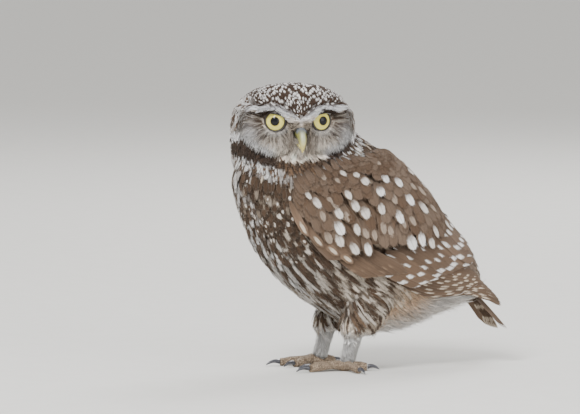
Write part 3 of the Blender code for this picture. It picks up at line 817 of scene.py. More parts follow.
def collarBase(left):
    ofLeft, ofRight = [np.interp(np.abs(left), *collarLook[key]) for key in ("baseLeft", "baseRight")]
    return np.where(left > 0, ofLeft, ofRight)


def headPlumage(at, pick):
    forward, left, up = at["head"].T
    toEye, eyeGap, browLine, facing = at["toEye"], at["eyeGap"], at["browLine"], at["facing"]
    spots, out = at["spots"], np.abs(left)
    crownness = ease(-0.6, 0.2, up - browLine - 0.6)
    crown = blend(tint["umber"] * 0.8, tint["brown"] * 0.75, ease(6.0, -16.0, forward))
    turn = np.arctan2(toEye[:, 1], toEye[:, 0])
    rays = np.sin(25 * turn + 1.8 * np.sin(7 * turn + 0.35 * eyeGap) + 0.25 * eyeGap * np.sign(left))
    light = ease(-0.6, 0.6, 0.85 * rays + 1.0 * (pick - 0.5) + 0.05)
    face = blend(tint["hazel"] * 0.26, blend(tint["cream"], tint["white"], 0.25) * 0.74, light)
    low = ease(1.0, -8.0, up + 0.10 * out)
    lowTone = blend(tint["cream"], tint["white"], 0.3) * 1.35
    face = blend(face, lowTone, low * (0.45 + 0.52 * (rays + 1.2 * pick > 0.0)))
    ring = ease(9.6, 7.4, eyeGap) * ease(-2.0, -5.0, toEye[:, 1])
    face = blend(face, tint["white"], ring * 0.35)
    earPatch = np.exp(-((out - 24.0) / 6.0) ** 2 - ((up - 1.5) / 6.5) ** 2)
    face = blend(face, tint["hazel"] * 0.75, 0.6 * earPatch * (rays < 0.5))
    innerShade = np.exp(-((out - 6.2) / 2.2) ** 2 - ((up + 6.0) / 3.6) ** 2)
    face = blend(face, tint["hazel"] * 0.6, 0.7 * innerShade)
    cheek = np.exp(-((out - 29.5) / 5.0) ** 2 - ((up + 4.0) / 5.5) ** 2)
    edge, base = np.interp(out, *collarLook["top"]), collarBase(left)
    moustache = ease(5.5, 3.0, up - edge) * ease(11.0, 17.0, out)
    whiteness = np.clip(np.maximum(cheek * 1.4, moustache), 0, 0.95) * (0.75 + 0.25 * (pick > 0.2))
    face = blend(face, tint["white"] * (1.19, 1.2, 1.24), whiteness)
    tone = blend(face, crown, crownness)
    temple = ease(24.0, 30.0, out) * ease(2.0, 7.0, up)
    templeTone = blend(tint["brown"], tint["white"] * 0.9, (pick > 0.45).astype(float))
    tone = blend(tone, templeTone, temple * 0.8)
    browWidth = at["browGap"] + 0.45 * ease(14, 26, out)
    brow = ease(2.1, 1.3, browWidth) * ease(29.0, 23.0, out)
    tone = blend(tone, tint["white"] * (1.12, 1.15, 1.22), brow * facing)
    belowBrow = browLine - up
    # painted shadow: a dark umber band just under the white brow, where the brow's overhang shades the face
    browShadow = ease(1.6, 2.4, belowBrow) * ease(4.8, 3.2, belowBrow)
    browShadow = browShadow * ease(5.0, 8.0, out) * ease(30, 25, out)
    tone = blend(tone, tint["umber"] * 0.9, browShadow * 0.9 * facing * (1 - brow))
    # the dark edge over the top of the eye: partly the bare lid's own colour, partly painted shadow from the
    # brow above
    lidAndShadow = ease(7.7, 7.0, eyeGap - 0.8 * ease(2, 7, toEye[:, 0])) * ease(0.5, 3.0, toEye[:, 1])
    tone = blend(tone, tint["umber"] * 0.5, lidAndShadow * facing)
    lore = ease(5.0, 3.0, np.hypot(out - 3.6, up - 3.0)) * facing
    tone = blend(tone, tint["cream"] * 1.1, lore * 0.7 * (pick > 0.3))
    # dark collar under the cheeks, rusty chin in its middle, white band below
    front = ease(-7.0, 0.0, forward)
    wave = 0.8 * patchy(spots, 3.0)
    inCollar = ease(0.8, -0.6, up - edge + wave) * ease(-1.0, 1.0, up - base + wave)
    rust = ease(15.0, 9.0, out)
    speckle = (pick > 0.45) * (0.6 + 0.4 * (pick > 0.75))
    collarTone = blend(tint["umber"] * 0.6, blend(tint["brown"] * 0.5, tint["rust"] * 0.8, speckle), rust)
    tone = blend(tone, collarTone, inCollar * front * ease(40, 36, out))
    band = ease(0.6, -0.6, up - base + wave) * ease(-7.5, -5.5, up - base)
    bandPale = (pick > np.where(left > 0, 0.5, 0.32)) * (1 - 0.65 * rust)
    tone = blend(tone, blend(tint["hazel"] * 0.6, tint["white"] * 0.85, bandPale), band * front)
    belowTone = blend(tint["brown"] * 0.6, tint["cream"] * 0.8, (pick > 0.82).astype(float))
    tone = blend(tone, belowTone, ease(-5.5, -7.0, up - base) * front)
    nape = ease(-2.0, -10.0, forward) * ease(14.0, 4.0, up)
    napeTone = blend(tint["brown"] * 0.9, tint["white"] * 0.8, ease(0.6, 0.8, pick) * ease(2, -8, up))
    tone = blend(tone, napeTone, nape)
    mark = np.tile(tint["white"], (len(left), 1))
    forehead = ease(7.0, 2.0, out) * ease(17.0, 10.0, up) * (forward > 8)
    spot = (0.62 - 0.20 * forehead) * crownness * (1 - brow * facing) + 0.62 * nape * (1 - crownness)
    return tone, mark, spot, front * ease(-9.5, -7.0, up - base)


def plumageAt(at, pick):
    # colours and marks for each place: what both the skin and the coat carry
    tone, mark, spot = bodyPlumage(at, pick)
    headTone, headMark, headSpot, inFront = headPlumage(at, pick)
    onNeck = inFront * (at["along"] < 18) * (np.abs(at["angle"]) > 50)
    share = np.maximum(at["headness"], onNeck)
    return blend(tone, headTone, share), blend(mark, headMark, share), spot * (1 - share) + headSpot * share


skinAt = describe(outer)
depth = skinLook["depth"] + (skinLook["faceDepth"] - skinLook["depth"]) * skinAt["headness"]
depth = depth + (skinLook["legDepth"] - depth) * np.maximum(skinAt["legness"], skinAt["shankness"])
inner = outer - outerNormals * (depth + skinLook["fatten"] / mm)[:, None]
setSpots(skin.data, inner)


def skinMap(at):
    # an unwrap of the skin's own shape: body below, head above, each by its own angles
    turn = (at["angle"] + 180.0) / 360.0
    body = np.stack([0.02 + 0.96 * turn, 0.02 + 0.50 * (at["along"] + 16.0) / 160.0], axis=1)
    forward, left, up = at["head"].T
    around = np.arctan2(left, forward) / math.tau + 0.5
    rise = np.arctan2(up, np.hypot(forward, left)) / math.pi + 0.5
    head = np.stack([0.02 + 0.96 * around, 0.56 + 0.42 * rise], axis=1)
    sideways, _, height = at["spots"].T
    legs = np.stack([0.02 + 0.10 * (sideways + 40) / 8, 0.50 + 0.05 * height / 60], axis=1)
    onLegs = at["shankness"] > 0.5
    return np.where((at["headness"] > 0.5)[:, None], head, np.where(onLegs[:, None], legs, body))


def skinMaterial():
    material, at = newMaterial("skin")
    fine = at.noise(1400.0, 4.0, 0.65)
    broad = at.noise(220.0, 3.0, 0.55)
    colour = at.attribute("tone").dimmed(0.42 + 0.40 * fine + 0.25 * broad)
    at.shade(material, Base_Color=colour, Roughness=0.75 + 0.2 * fine, Normal=at.bump(fine + broad, 0.0004),
             Specular_IOR_Level=0.2)
    return material


def dressSkin():
    tone, mark, spot = plumageAt(skinAt, np.full(len(outer), 0.5))
    layer = skin.data.attributes.new("tone", "FLOAT_COLOR", "POINT")
    mixed = blend(tone, mark, 0.25 * (spot > 0.1))
    mixed = np.concatenate([mixed, np.ones((len(mixed), 1))], axis=1)
    layer.data.foreach_set("color", mixed.astype(np.float32).ravel())
    skin.data.materials.append(skinMaterial())
    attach(skin, "root")
    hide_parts(*skinLook["nodes"])


dressSkin()
skinTree = BVHTree.FromObject(skin, bpy.context.evaluated_depsgraph_get())
print("skin done")

# Coat: tufts rooted in the skin, by region

skinFaces = np.empty(len(skin.data.loops), np.int32)
skin.data.loops.foreach_get("vertex_index", skinFaces)
starts = np.empty(len(skin.data.polygons), np.int32)
skin.data.polygons.foreach_get("loop_start", starts)
totals = np.empty(len(skin.data.polygons), np.int32)
skin.data.polygons.foreach_get("loop_total", totals)
fourSided = starts[totals == 4]
corners = skinFaces[fourSided[:, None] + np.arange(4)]
triangles = np.concatenate([corners[:, [0, 1, 2]], corners[:, [0, 2, 3]]])
innerNormals = normalsOf(skin.data)
ends = inner[triangles]
areas = np.linalg.norm(np.cross(ends[:, 1] - ends[:, 0], ends[:, 2] - ends[:, 0]), axis=1) / 2


def scatter(count):
    # random places on the skin, even over its area
    pick = chance.choice(len(triangles), count, p=areas / areas.sum())
    a, b = chance.random(count), chance.random(count)
    over = a + b > 1
    a, b = np.where(over, 1 - a, a), np.where(over, 1 - b, b)
    weights = np.stack([1 - a - b, a, b], axis=1)[..., None]
    chosen = triangles[pick]
    return (inner[chosen] * weights).sum(1), unit((innerNormals[chosen] * weights).sum(1))


def thin(spots, spacing):
    # keeps places at least their spacing apart
    tree = kdtree.KDTree(len(spots))
    for i, spot in enumerate(spots):
        tree.insert(spot, i)
    tree.balance()
    state = np.zeros(len(spots), np.int8)
    for i in range(len(spots)):
        if state[i]:
            continue
        state[i] = 1
        for _, j, _ in tree.find_range(spots[i], spacing[i]):
            if j > i:
                state[j] = state[j] or 2
    return state == 1


def onSkin(spots):
    found = [skinTree.find_nearest(Vector(spot * mm)) for spot in spots]
    return (np.array([item[0][:] for item in found]) / mm, np.array([item[1][:] for item in found]))


def underWing(at):
    # no coat where the wing lies thick over it
    angle, along = np.abs(at["angle"]), at["along"]
    return (along > 32) & (along < 88) & (angle > 38) & (angle < 98) & (at["headness"] < 0.5)


def pathsOver(spots, normals, lies, lengths, midLift, tipLift):
    # a curved path over the skin for each tuft: root, middle and tip
    across = unit(lies - (lies * normals).sum(1, keepdims=True) * normals)
    half, halfOut = onSkin(spots + across * lengths[:, None] * 0.5)
    turned = unit(across - (across * halfOut).sum(1, keepdims=True) * halfOut)
    tip, tipOut = onSkin(half + turned * lengths[:, None] * 0.5)
    half = half + halfOut * midLift[:, None]
    tip = tip + tipOut * tipLift[:, None]
    root = spots - normals * 0.25
    near = root * 0.375 + half * 0.75 - tip * 0.125
    far = -root * 0.125 + half * 0.75 + tip * 0.375
    nearOut, farOut = unit(normals + halfOut), unit(halfOut + tipOut)
    outs = np.stack([normals, nearOut, halfOut, farOut, tipOut], axis=1)
    return np.stack([root, near, half, far, tip], axis=1), outs


def coatPiece(name, at, normals, look):
    # one joined piece of tufts of one kind
    count = len(at["spots"])
    tone, mark, spot = plumageAt(at, chance.random(count))
    lie = lieOf(at) + chance.normal(0, look.get("stray", 0.08), (count, 3))
    lengths = look["length"](at) if callable(look["length"]) else look["length"]
    lengths = lengths * (1 + chance.normal(0, 0.12, count))
    lifts = look["lift"](at) if callable(look["lift"]) else look["lift"]
    wave = 1 + chance.normal(0, 0.15, count)
    paths, outs = pathsOver(at["spots"], normals, lie, lengths, lifts[0] * wave, lifts[1] * wave)
    luck, showing, swell = chance.random((4, count))[:3]  # four rows are drawn
    spot = spot * (showing < look.get("spotted", 1.0)) * (0.5 + 0.7 * swell)
    if look.get("plain"):
        spot = 0.0
    if "tones" in look:
        tone = tone * (1 + look["tones"] * chance.normal(0, 1, (count, 1)))
    stretch = lengths / (look["width"] / 2) / look.get("long", 1.5)
    web = chance.normal(0, 0.08, count)
    tones = feathered(tone, mark, luck, stretch, look.get("shadow", 0.25), spot, web, 0.76)
    width = look["width"] * (1 + chance.normal(0, 0.12, count)) / 2
    if "finer" in look:
        width = width * look["finer"](at)
    patch = 0.003  # each tuft's share of the skin's bake map
    piece = featherMesh(name, look, paths, outs, width, tones, skinMap(at), patch, coatMaterial)
    print(name, "tufts", count, "faces", len(piece.data.polygons))


def faceLength(at):
    return 2.4 + 3.0 * ease(7.0, 14.0, at["eyeGap"])


def faceLift(at):
    return 0.8 + 0.6 * browness(at), 1.3 + 0.8 * browness(at)


def crownFine(at):
    # smaller feathers low on the forehead
    return 0.62 + 0.38 * ease(0.0, 8.0, at["head"][:, 2] - 8.0 - 0.4 * np.abs(at["head"][:, 1]))


def crownLength(at):
    return 5.4 * crownFine(at)


def ventLength(at):
    return 9.0 + 6.0 * ease(96.0, 112.0, at["along"]) * ease(100.0, 130.0, np.abs(at["angle"]))


def ventLift(at):
    hanging = ease(96.0, 110.0, at["along"]) * ease(98.0, 125.0, np.abs(at["angle"]))
    return 2.3 + 1.8 * hanging, 3.0 + 4.4 * hanging


def mantleLift(at):
    along = at["along"]
    ridge = ease(40.0, 18.0, np.abs(at["angle"])) * ease(4.0, 26.0, along) * ease(120.0, 100.0, along)
    return 2.3 + 2.0 * ridge, 2.7 + 2.4 * ridge


def thighLength(at):
    return 9.0 + 5.0 * ease(30.0, 44.0, at["spots"][:, 2])


hairOutline = ((0.0, 0.6, 1.0), (1.0, 0.75, 0.1))
tuftOutline = ((0.0, 0.25, 0.6, 0.85, 1.0), (0.35, 0.8, 1.0, 0.85, 0.5))
dropOutline = ((0.0, 0.3, 0.65, 0.9, 1.0), (0.4, 0.85, 1.0, 0.9, 0.6))

# spacing keeps the roots apart; lift is how far the middle and the tip stand off the skin
coatLooks = {
    "face": {
        "grid": hairGrid(2), "outline": hairOutline, "length": faceLength, "width": 0.34, "lift": faceLift,
        "thickness": 0.26, "spacing": 0.40, "stray": 0.12, "plain": True, "shadow": 0.15, "tones": 0.08,
    },
    "bristles": {
        "grid": hairGrid(4), "outline": hairOutline, "length": 6.5, "width": 0.24, "lift": (2.3, 3.4),
        "thickness": 0.2, "spacing": 0.5, "stray": 0.2, "plain": True, "shadow": 0.2, "tones": 0.1,
    },
    "crown": {
        "grid": vaneGrid(4, 2, 0.22, 0.0), "outline": dropOutline, "length": crownLength, "width": 3.0,
        "lift": (0.95, 1.15), "thickness": 0.12, "spacing": 1.75, "finer": crownFine, "spotted": 0.7,
        "long": 1.9, "shadow": 0.3, "barbs": {"edge": 2, "tip": 5, "length": 0.9, "width": 0.22},
    },
    "ruff": {
        "grid": vaneGrid(4, 2, 0.25, 0.0), "outline": tuftOutline, "length": 6.0, "width": 1.2,
        "lift": (1.3, 1.7), "thickness": 0.16, "spacing": 1.05, "plain": True, "tones": 0.15,
        "barbs": {"edge": 3, "tip": 4, "length": 1.4, "width": 0.22},
    },
    "mantle": {
        "grid": vaneGrid(6, 6, 0.24, 0.05), "outline": dropOutline, "length": 12.0, "width": 5.4,
        "lift": mantleLift, "thickness": 0.12, "spacing": 2.7, "spotted": 0.14, "tones": 0.08,
        "camber": 0.08, "barbs": {"edge": 8, "tip": 9, "length": 2.2},
    },
    "breast": {
        "grid": vaneGrid(5, 4, 0.26, 0.08), "outline": dropOutline, "length": 10.0, "width": 3.2,
        "lift": (1.9, 2.4), "thickness": 0.12, "spacing": 1.9, "ruffle": 0.05, "spotted": 0.3,
        "tones": 0.1, "camber": 0.1, "barbs": {"edge": 7, "tip": 7, "length": 2.4, "spread": 26.0},
    },
    "belly": {
        "grid": vaneGrid(6, 2, 0.3, 0.0), "outline": tuftOutline, "length": 18.0, "width": 2.2,
        "lift": (2.1, 2.8), "thickness": 0.12, "spacing": 1.7, "stray": 0.05, "ruffle": 0.06, "plain": True,
        "tones": 0.07, "camber": 0.12, "barbs": {"edge": 6, "tip": 6, "length": 3.0, "spread": 20.0},
    },
    "vent": {
        "grid": hairGrid(4), "outline": hairOutline, "length": ventLength, "width": 0.62, "lift": ventLift,
        "thickness": 0.36, "spacing": 0.72, "stray": 0.2, "plain": True, "tones": 0.1, "shadow": 0.12,
    },
    "thigh": {
        "grid": vaneGrid(5, 4, 0.3, 0.10), "outline": tuftOutline, "length": thighLength, "width": 1.7,
        "lift": (1.2, 1.7), "thickness": 0.12, "spacing": 1.0, "stray": 0.06, "plain": True, "tones": 0.05,
        "shadow": 0.12, "camber": 0.12, "barbs": {"edge": 6, "tip": 6, "length": 2.6, "spread": 20.0},
    },
    "shank": {
        "grid": hairGrid(2), "outline": hairOutline, "length": 4.6, "width": 0.30, "lift": (1.5, 2.2),
        "thickness": 0.24, "spacing": 0.34, "stray": 0.2, "plain": True, "tones": 0.04, "shadow": 0.05,
    },
    "brow": {
        "grid": vaneGrid(3, 2, 0.3, 0.0), "outline": tuftOutline, "length": 3.8, "width": 0.8,
        "lift": (1.9, 2.6), "thickness": 0.12, "spacing": 0.55, "stray": 0.08, "plain": True, "tones": 0.03,
        "shadow": 0.0, "barbs": {"edge": 3, "tip": 3, "length": 0.9, "width": 0.14},
    },
}


def regionOf(at):
    # names which coat grows at each place
    forward, left, up = at["head"].T
    onHead = at["headness"] > 0.5
    along, angle = at["along"], np.abs(at["angle"])
    region = np.where(angle < 88, "mantle", np.where(along < 34, "breast", "belly")).astype(object)
    region[(along > 88) & (angle > 84)] = "vent"
    region[at["legness"] > 0.5] = "thigh"
    region[at["shankness"] > 0.5] = "shank"
    crown = onHead & ((up - at["browLine"] > 0.2) | (forward < -2) & (up > -12))
    face = onHead & ~crown & (at["facing"] > 0.4) & (at["eyeGap"] < 19)
    onCollar = (forward > -14) & (up - collarBase(left) > -8.0) & (angle > 50)
    region[onHead | (along < 18) & onCollar | (along < 7) & (angle < 88)] = "ruff"
    region[crown] = "crown"
    region[face] = "face"
    bristly = onHead & (np.hypot(left, up + 2.0) < 8.0) & (forward > 12) & (chance.random(len(left)) < 0.6)
    region[onHead & (at["browGap"] < 1.9) & (np.abs(left) < 27) & (forward > 0)] = "brow"
    region[bristly & (region != "crown") & (region != "brow")] = "bristles"
    onCere = np.hypot(left / 3.0, (up - 0.6) / 3.6) < 1
    region[onHead & (forward > 8) & ((at["eyeGap"] < 6.6) | onCere)] = "none"
    return region


rootCount = 420000
rootSpots, rootNormals = scatter(rootCount)
rootAt = describe(rootSpots)
rootRegion = regionOf(rootAt)
rootRegion[underWing(rootAt)] = "none"


def taken(at, keep):
    return {key: values[keep] for key, values in at.items()}


for region, look in coatLooks.items():
    chosen = np.flatnonzero(rootRegion == region)
    spacing = np.full(len(chosen), look["spacing"])
    if "finer" in look:
        spacing = spacing * look["finer"](taken(rootAt, chosen))
    kept = chosen[thin(rootSpots[chosen], spacing)]
    coatPiece("coat_" + region, taken(rootAt, kept), rootNormals[kept], look)


# Wings: flight feathers in tiers, then covert and scapular feathers laid over them like shingles.
# Ends of a tier: first root and tip, last root and tip (mm along, degrees); lifts at quarter, middle and tip.

wingTiers = {
    "underwing": {"count": 10, "ends": ((20, 112), (52, 116), (34, 46), (80, 40)), "width": 13.0,
                  "lifts": (1.2, 2.6, 2.6)},
    "primaries": {"count": 10, "ends": ((78, 104), (147, 92), (90, 80), (133, 54)), "width": 5.6,
                  "lifts": (1.4, 2.2, 1.8), "mark": "cream", "bars": 0.9, "barCount": 6.0, "web": 0.45,
                  "reach": 14.0},
    "secondaries": {"count": 9, "ends": ((64, 106), (99, 95), (78, 54), (124, 42)), "width": 8.4,
                    "lifts": (2.4, 3.4, 3.2), "mark": "white", "bars": 0.9, "barCount": 3.6, "web": 0.12},
    "tertials": {"count": 5, "ends": ((78, 50), (121, 44), (72, 22), (108, 16)), "width": 10.0,
                 "lifts": (2.8, 3.9, 4.0), "mark": "white", "bars": 0.85, "barCount": 3.2, "web": 0.2},
    "primaryCoverts": {"count": 6, "ends": ((50, 117), (72, 113), (58, 100), (86, 95)), "width": 5.4,
                       "lifts": (2.2, 3.2, 3.4), "mark": "buff", "bars": 0.25, "barCount": 2.5, "web": 0.3},
    "alula": {"count": 4, "ends": ((13, 118), (31, 120), (42, 114), (58, 113)), "width": 4.6,
              "lifts": (1.6, 3.0, 3.6), "mark": "cream", "spot": 0.42, "long": 3.4, "tone": "hazel"},
}
quillOutline = ((0.0, 0.15, 0.5, 0.85, 1.0), (0.3, 0.75, 1.0, 0.98, 0.62))
wingLook = {
    "grid": vaneGrid(14, 8, 0.16, 0.012),
    "outline": quillOutline,
    "thickness": 0.26,
    "camber": 0.12,
    "layer": 0.42,
    "barbs": {"edge": 10, "tip": 8, "length": 1.0, "width": 0.22, "from": 0.3},
    "pieces": {
        "flight": ("underwing", "primaries", "secondaries", "tertials"),
        "edge": ("primaryCoverts", "alula"),
    },
}

# The lists at the end place the drops on the feathers' tips: mm along and degrees.
coverLook = {
    "length": 14.0,
    "width": 7.4,
    "lean": 20.0,
    "spacing": (4.6, 3.8),
    "perDegree": 0.58,
    "front": ((10, 40, 70, 100, 114), (14, 12, 7, 9, 20)),
    "rear": ((10, 45, 60, 75, 90, 104, 114), (96, 92, 90, 82, 70, 60, 56)),
    "tries": 6000,
    "grid": vaneGrid(7, 6, 0.2, 0.04),
    "outline": dropOutline,
    "thickness": 0.08,
    "camber": 0.06,
    "ruffle": 0.04,
    "barbs": {"edge": 11, "tip": 11, "length": 1.9, "width": 0.26},
    "bright": ((37, 54), (46, 48), (58, 53), (59, 70), (38, 102), (57, 101), (76, 77), (38, 65), (80, 70)),
    "soft": ((13, 101), (19, 99), (31, 94), (26, 80), (34, 84), (42, 84), (26, 64), (47, 75), (69, 47),
             (85, 64), (53, 106), (44, 109), (12, 70), (17, 64), (83, 54), (46, 95), (45, 12), (51, 20),
             (63, 18), (90, 30)),
    "faint": ((21, 90), (25, 90), (26, 104), (35, 92), (49, 62), (50, 94), (54, 92), (55, 85), (61, 82),
              (67, 63), (64, 73), (13, 77), (8, 84), (57, 38), (63, 33), (37, 112), (23, 42), (74, 36)),
}


def tierVanes(tier):
    count = tier["count"]
    firstRoot, firstTip, lastRoot, lastTip = [np.array(end, float) for end in tier["ends"]]
    share = np.linspace(0, 1, count)[:, None]
    roots, tips = firstRoot + (lastRoot - firstRoot) * share, firstTip + (lastTip - firstTip) * share
    if "reach" in tier:
        tips[:, 0] += tier["reach"] * np.exp(-((np.arange(count) - 0.2 * count) / (0.5 * count)) ** 2)
    steps = np.linspace(0, 1, 9)
    way = roots[:, None] + (tips - roots)[:, None] * steps[None, :, None]
    lift = np.interp(steps, (0.0, 0.25, 0.6, 1.0), (0.4, *tier["lifts"]))[None, :] + 0.5
    along, angle = way[..., 0], way[..., 1]
    paths = offBody(along, angle, np.broadcast_to(lift, along.shape))
    outs = bodyWays(along, angle)[2]
    # each vane is rolled so that it lies over the next one up
    sides = unit(np.cross(unit(np.gradient(paths, axis=1)), outs))
    breadth = np.linalg.norm(paths[0, 5] - paths[-1, 5]) / max(1, count - 1)
    return paths, unit(outs - sides * wingLook["layer"] / breadth)


def tierLooks(tier):
    luck = chance.random(tier["count"])
    tone = np.tile(tint[tier.get("tone", "brown")], (len(luck), 1)) * (1.0 + 0.25 * luck)[:, None]
    tone = blend(tone, tint["greyBrown"] * 0.7, 0.2)
    mark = np.tile(tint[tier.get("mark", "cream")] * 1.1, (len(luck), 1))
    stretch = 19.0 / (tier["width"] / 2) / tier.get("long", 1.5)
    marks = {key: tier[key] for key in ("spot", "web", "bars", "barCount") if key in tier}
    return feathered(tone, mark, luck, stretch, 0.35, **marks)


def coverLift(along, angle):
    lift = 1.4 + 3.1 * ease(2, 30, along) - 1.4 * ease(104, 116, angle) - 1.3 * ease(34, 12, angle)
    return lift - 0.6 * ease(70, 92, along)


def makeCover():
    # roots to tips of the shingled feathers, and what each carries
    tips, kinds = [], []
    for kind, name in enumerate(("bright", "soft", "faint")):
        places = np.array(coverLook[name], float) + chance.normal(0, 0.5, (len(coverLook[name]), 2))
        tips.append(places + (3.2, 1.2))
        kinds += [kind] * len(places)
    moreAlong, moreAngle = [chance.uniform(*ends, coverLook["tries"]) for ends in ((6, 98), (10, 114))]
    more = np.stack([moreAlong, moreAngle], axis=1)
    front, rear = [np.interp(moreAngle, *coverLook[edge]) for edge in ("front", "rear")]
    inside = (moreAlong > front) & (moreAlong < rear)
    tips = np.concatenate([*tips, more[inside]])
    kinds = np.array(kinds + [3] * int(inside.sum()))
    flat = tips * (1 / coverLook["spacing"][0], coverLook["perDegree"] / coverLook["spacing"][1])
    spacing = np.where(kinds < 2, 1.25, 0.9) * (0.55 + 0.45 * ease(10, 34, tips[:, 0]))
    kept = thin(np.column_stack([flat, 0 * flat[:, 0]]), spacing) | (kinds < 3)
    tips, kinds = tips[kept], kinds[kept]
    count = len(tips)
    along, angle = tips.T
    size = 0.58 + 0.42 * ease(8, 38, along)
    lengths = coverLook["length"] * size * (1 + chance.normal(0, 0.05, count))
    lean = coverLook["lean"] * ease(15, 40, along) * ease(36, 60, angle) + chance.normal(0, 4, count)
    lean = np.radians(lean)
    roots = tips - np.stack([lengths * np.cos(lean), lengths * np.sin(lean) / coverLook["perDegree"]], axis=1)
    steps = np.linspace(0, 1, 6)
    way = roots[:, None] + (tips - roots)[:, None] * steps[None, :, None]
    rise = np.interp(steps, (0, 0.5, 1.0), (-0.9, 0.0, 0.15))
    lift = coverLift(way[..., 0], way[..., 1]) + rise + chance.normal(0, 0.08, count)[:, None]
    lift = lift + 0.25 * (kinds < 2)[:, None] * steps
    paths, outs = offBody(way[..., 0], way[..., 1], lift), bodyWays(way[..., 0], way[..., 1])[2]
    luck = chance.random(count)
    tone = blend(tint["brown"], blend(tint["hazel"] * 0.8, tint["greyBrown"] * 0.7, 0.5), luck * 0.9)
    softMark = blend(tint["cream"], tint["white"], 0.6)
    mark = np.array([tint["white"] * 1.1, softMark, tint["greyBrown"] * 1.5, tint["hazel"]])[kinds]
    spot = np.array([0.84, 0.72, 0.62, 0.0])[kinds] * (1 + chance.normal(0, 0.10, count))
    widths = coverLook["width"] / 2 * size * (1 + chance.normal(0, 0.08, count))
    widths = widths * np.array([1, 0.9, 0.85, 1])[kinds]
    web = chance.normal(0, 0.1, count)
    stretch = lengths / widths / (1.8 + 0.4 * chance.random(count))
    return paths, outs, widths, feathered(tone, mark, luck, stretch, 0.3, spot, web)


def bakeCells(count):
    # each vane's own square on the bake's map, and the squares' size
    columns = math.ceil(math.sqrt(count))
    order = np.arange(count)
    cells = np.stack([order % columns, order // columns], axis=1)
    return (cells + 0.5) / columns, 0.92 / columns


def joinTiers(names):
    tiers = [wingTiers[name] for name in names]
    vanes = [tierVanes(tier) for tier in tiers]
    paths, outs = [np.concatenate([vane[i] for vane in vanes]) for i in (0, 1)]
    widths = np.concatenate([np.full(tier["count"], tier["width"] / 2) for tier in tiers])
    tones = [tierLooks(tier) for tier in tiers]
    tones = {key: np.concatenate([tone[key] for tone in tones]) for key in tones[0]}
    return paths, outs, widths, tones


def makeWing(side):
    mirror = np.array((1.0 if side == "left" else -1.0, 1.0, 1.0))
    for part in ("flight", "edge", "coverts"):
        if part == "coverts":
            look, (paths, outs, widths, tones) = coverLook, makeCover()
        else:
            look, (paths, outs, widths, tones) = wingLook, joinTiers(wingLook["pieces"][part])
            tones["place"] = tones["place"] * mirror
        cells, patch = bakeCells(len(paths))
        piece = featherMesh(f"wing_{side}_{part}", look, paths * mirror, outs * mirror, widths, tones,
                            cells, patch, quillMaterial)
        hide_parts("wing_" + side)
        print(piece.name, "vanes", len(paths), "faces", len(piece.data.polygons))


for side in ("left", "right"):
    makeWing(side)


# Tail

tailLook = {
    "feathers": 12,
    "root": 139.0,
    "rootLength": 12.0,
    "length": 35.5,
    "fan": 0.75,
    "part": 8.0,
    "width": 6.6,
    "layer": 0.5,
    "drop": -0.3,
    "grid": vaneGrid(20, 8, 0.12, 0.01),
    "outline": quillOutline,
    "thickness": 0.3,
    "camber": 0.12,
}


def makeTail():
    rootBack, rootHeight, tilt = bodySection(tailLook["root"])[:3]
    back = np.array((0, math.sin(tilt), -math.cos(tilt)))
    over = np.array((0, math.cos(tilt), math.sin(tilt)))
    root = np.array((0, rootBack, rootHeight)) + over * tailLook["drop"]
    count, before = tailLook["feathers"], tailLook["rootLength"]
    steps = np.linspace(0, 1, 9)
    paths, outs = [], []
    for i in range(count):
        place = i - (count - 1) / 2
        length = tailLook["length"] * (1 - 0.012 * abs(place) ** 1.5) + before
        half = np.sign(place)
        across = tailLook["fan"] * place * (0.55 + 0.45 * steps) + half * (1.0 + tailLook["part"] * steps)
        lift = tailLook["layer"] * (count / 4 - abs(place)) + 0.8 * np.sin(steps * math.pi)
        lift = lift - 0.10 * abs(across)
        length = length + (1.5 if half < 0 else 0.0)
        path = root + np.outer(across, (1, 0, 0)) + np.outer(length * steps - before, back)
        paths.append(path + np.outer(lift, over))
        outs.append(np.tile(unit(over + np.array((0.25 * half, 0, 0))), (9, 1)))
    paths, outs = np.array(paths), np.array(outs)
    luck = chance.random(count)
    web = -0.2 * np.sign(np.arange(count) - (count - 1) / 2)
    tone, mark = np.tile(tint["hazel"] * 0.8, (count, 1)), np.tile(tint["cream"] * 1.2, (count, 1))
    tones = feathered(tone, mark, 0.15 * luck, 3.0, 0.3, 0.3, web, 0.97, 0.9, 4.6)
    cells = np.stack([(np.arange(count) + 0.5) / count, np.full(count, 0.5)], axis=1)
    patch = np.array((0.92 / count, 0.9))
    widths = np.full(count, tailLook["width"] / 2)
    tail = featherMesh("tail_fan", tailLook, paths, outs, widths, tones, cells, patch,
                       quillMaterial)
    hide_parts("tail")


makeTail()
print("wings and tail done")


# Eyes: a ball with a bulged cornea, a dark rim and an upper lid

eyeLook = {
    "radius": 8.0,
    "forward": 18.0,
    "splay": math.radians(18.0),
    "iris": 5.6,
    "pupil": 2.65,
    "bulge": 0.5,
    "bulgeReach": 5.5,
    "rimSeat": 0.70,  # of the ball's radius, out from its centre
    "rimRadius": 6.1,
    "rimThickness": 0.75,
    "lidRadius": 8.75,
    "lidSlant": 0.22,
    "lidDrop": math.radians(24.0),
    "lidBack": 3.0,
    "lidThickness": 0.4,
}
rimLook = {
    "grain": 2400.0,
    "harsh": 0.6,
    "tones": ((0.010, 0.008, 0.007), (0.035, 0.028, 0.024)),
    "rough": (0.35, 0.25),
    "relief": 0.0001,
}


def eyeFrame(side):
    sign = 1 if side == "left" else -1
    axis = faceForward * math.cos(eyeLook["splay"]) + faceLeft * sign * math.sin(eyeLook["splay"])
    place = np.array((eyeLook["forward"], sign * headLook["eyeOut"], headLook["eyeUp"]))
    front = np.array(headLook["centre"]) + place @ faceWays
    return Vector(front - axis * eyeLook["radius"]) * mm, Vector(axis)


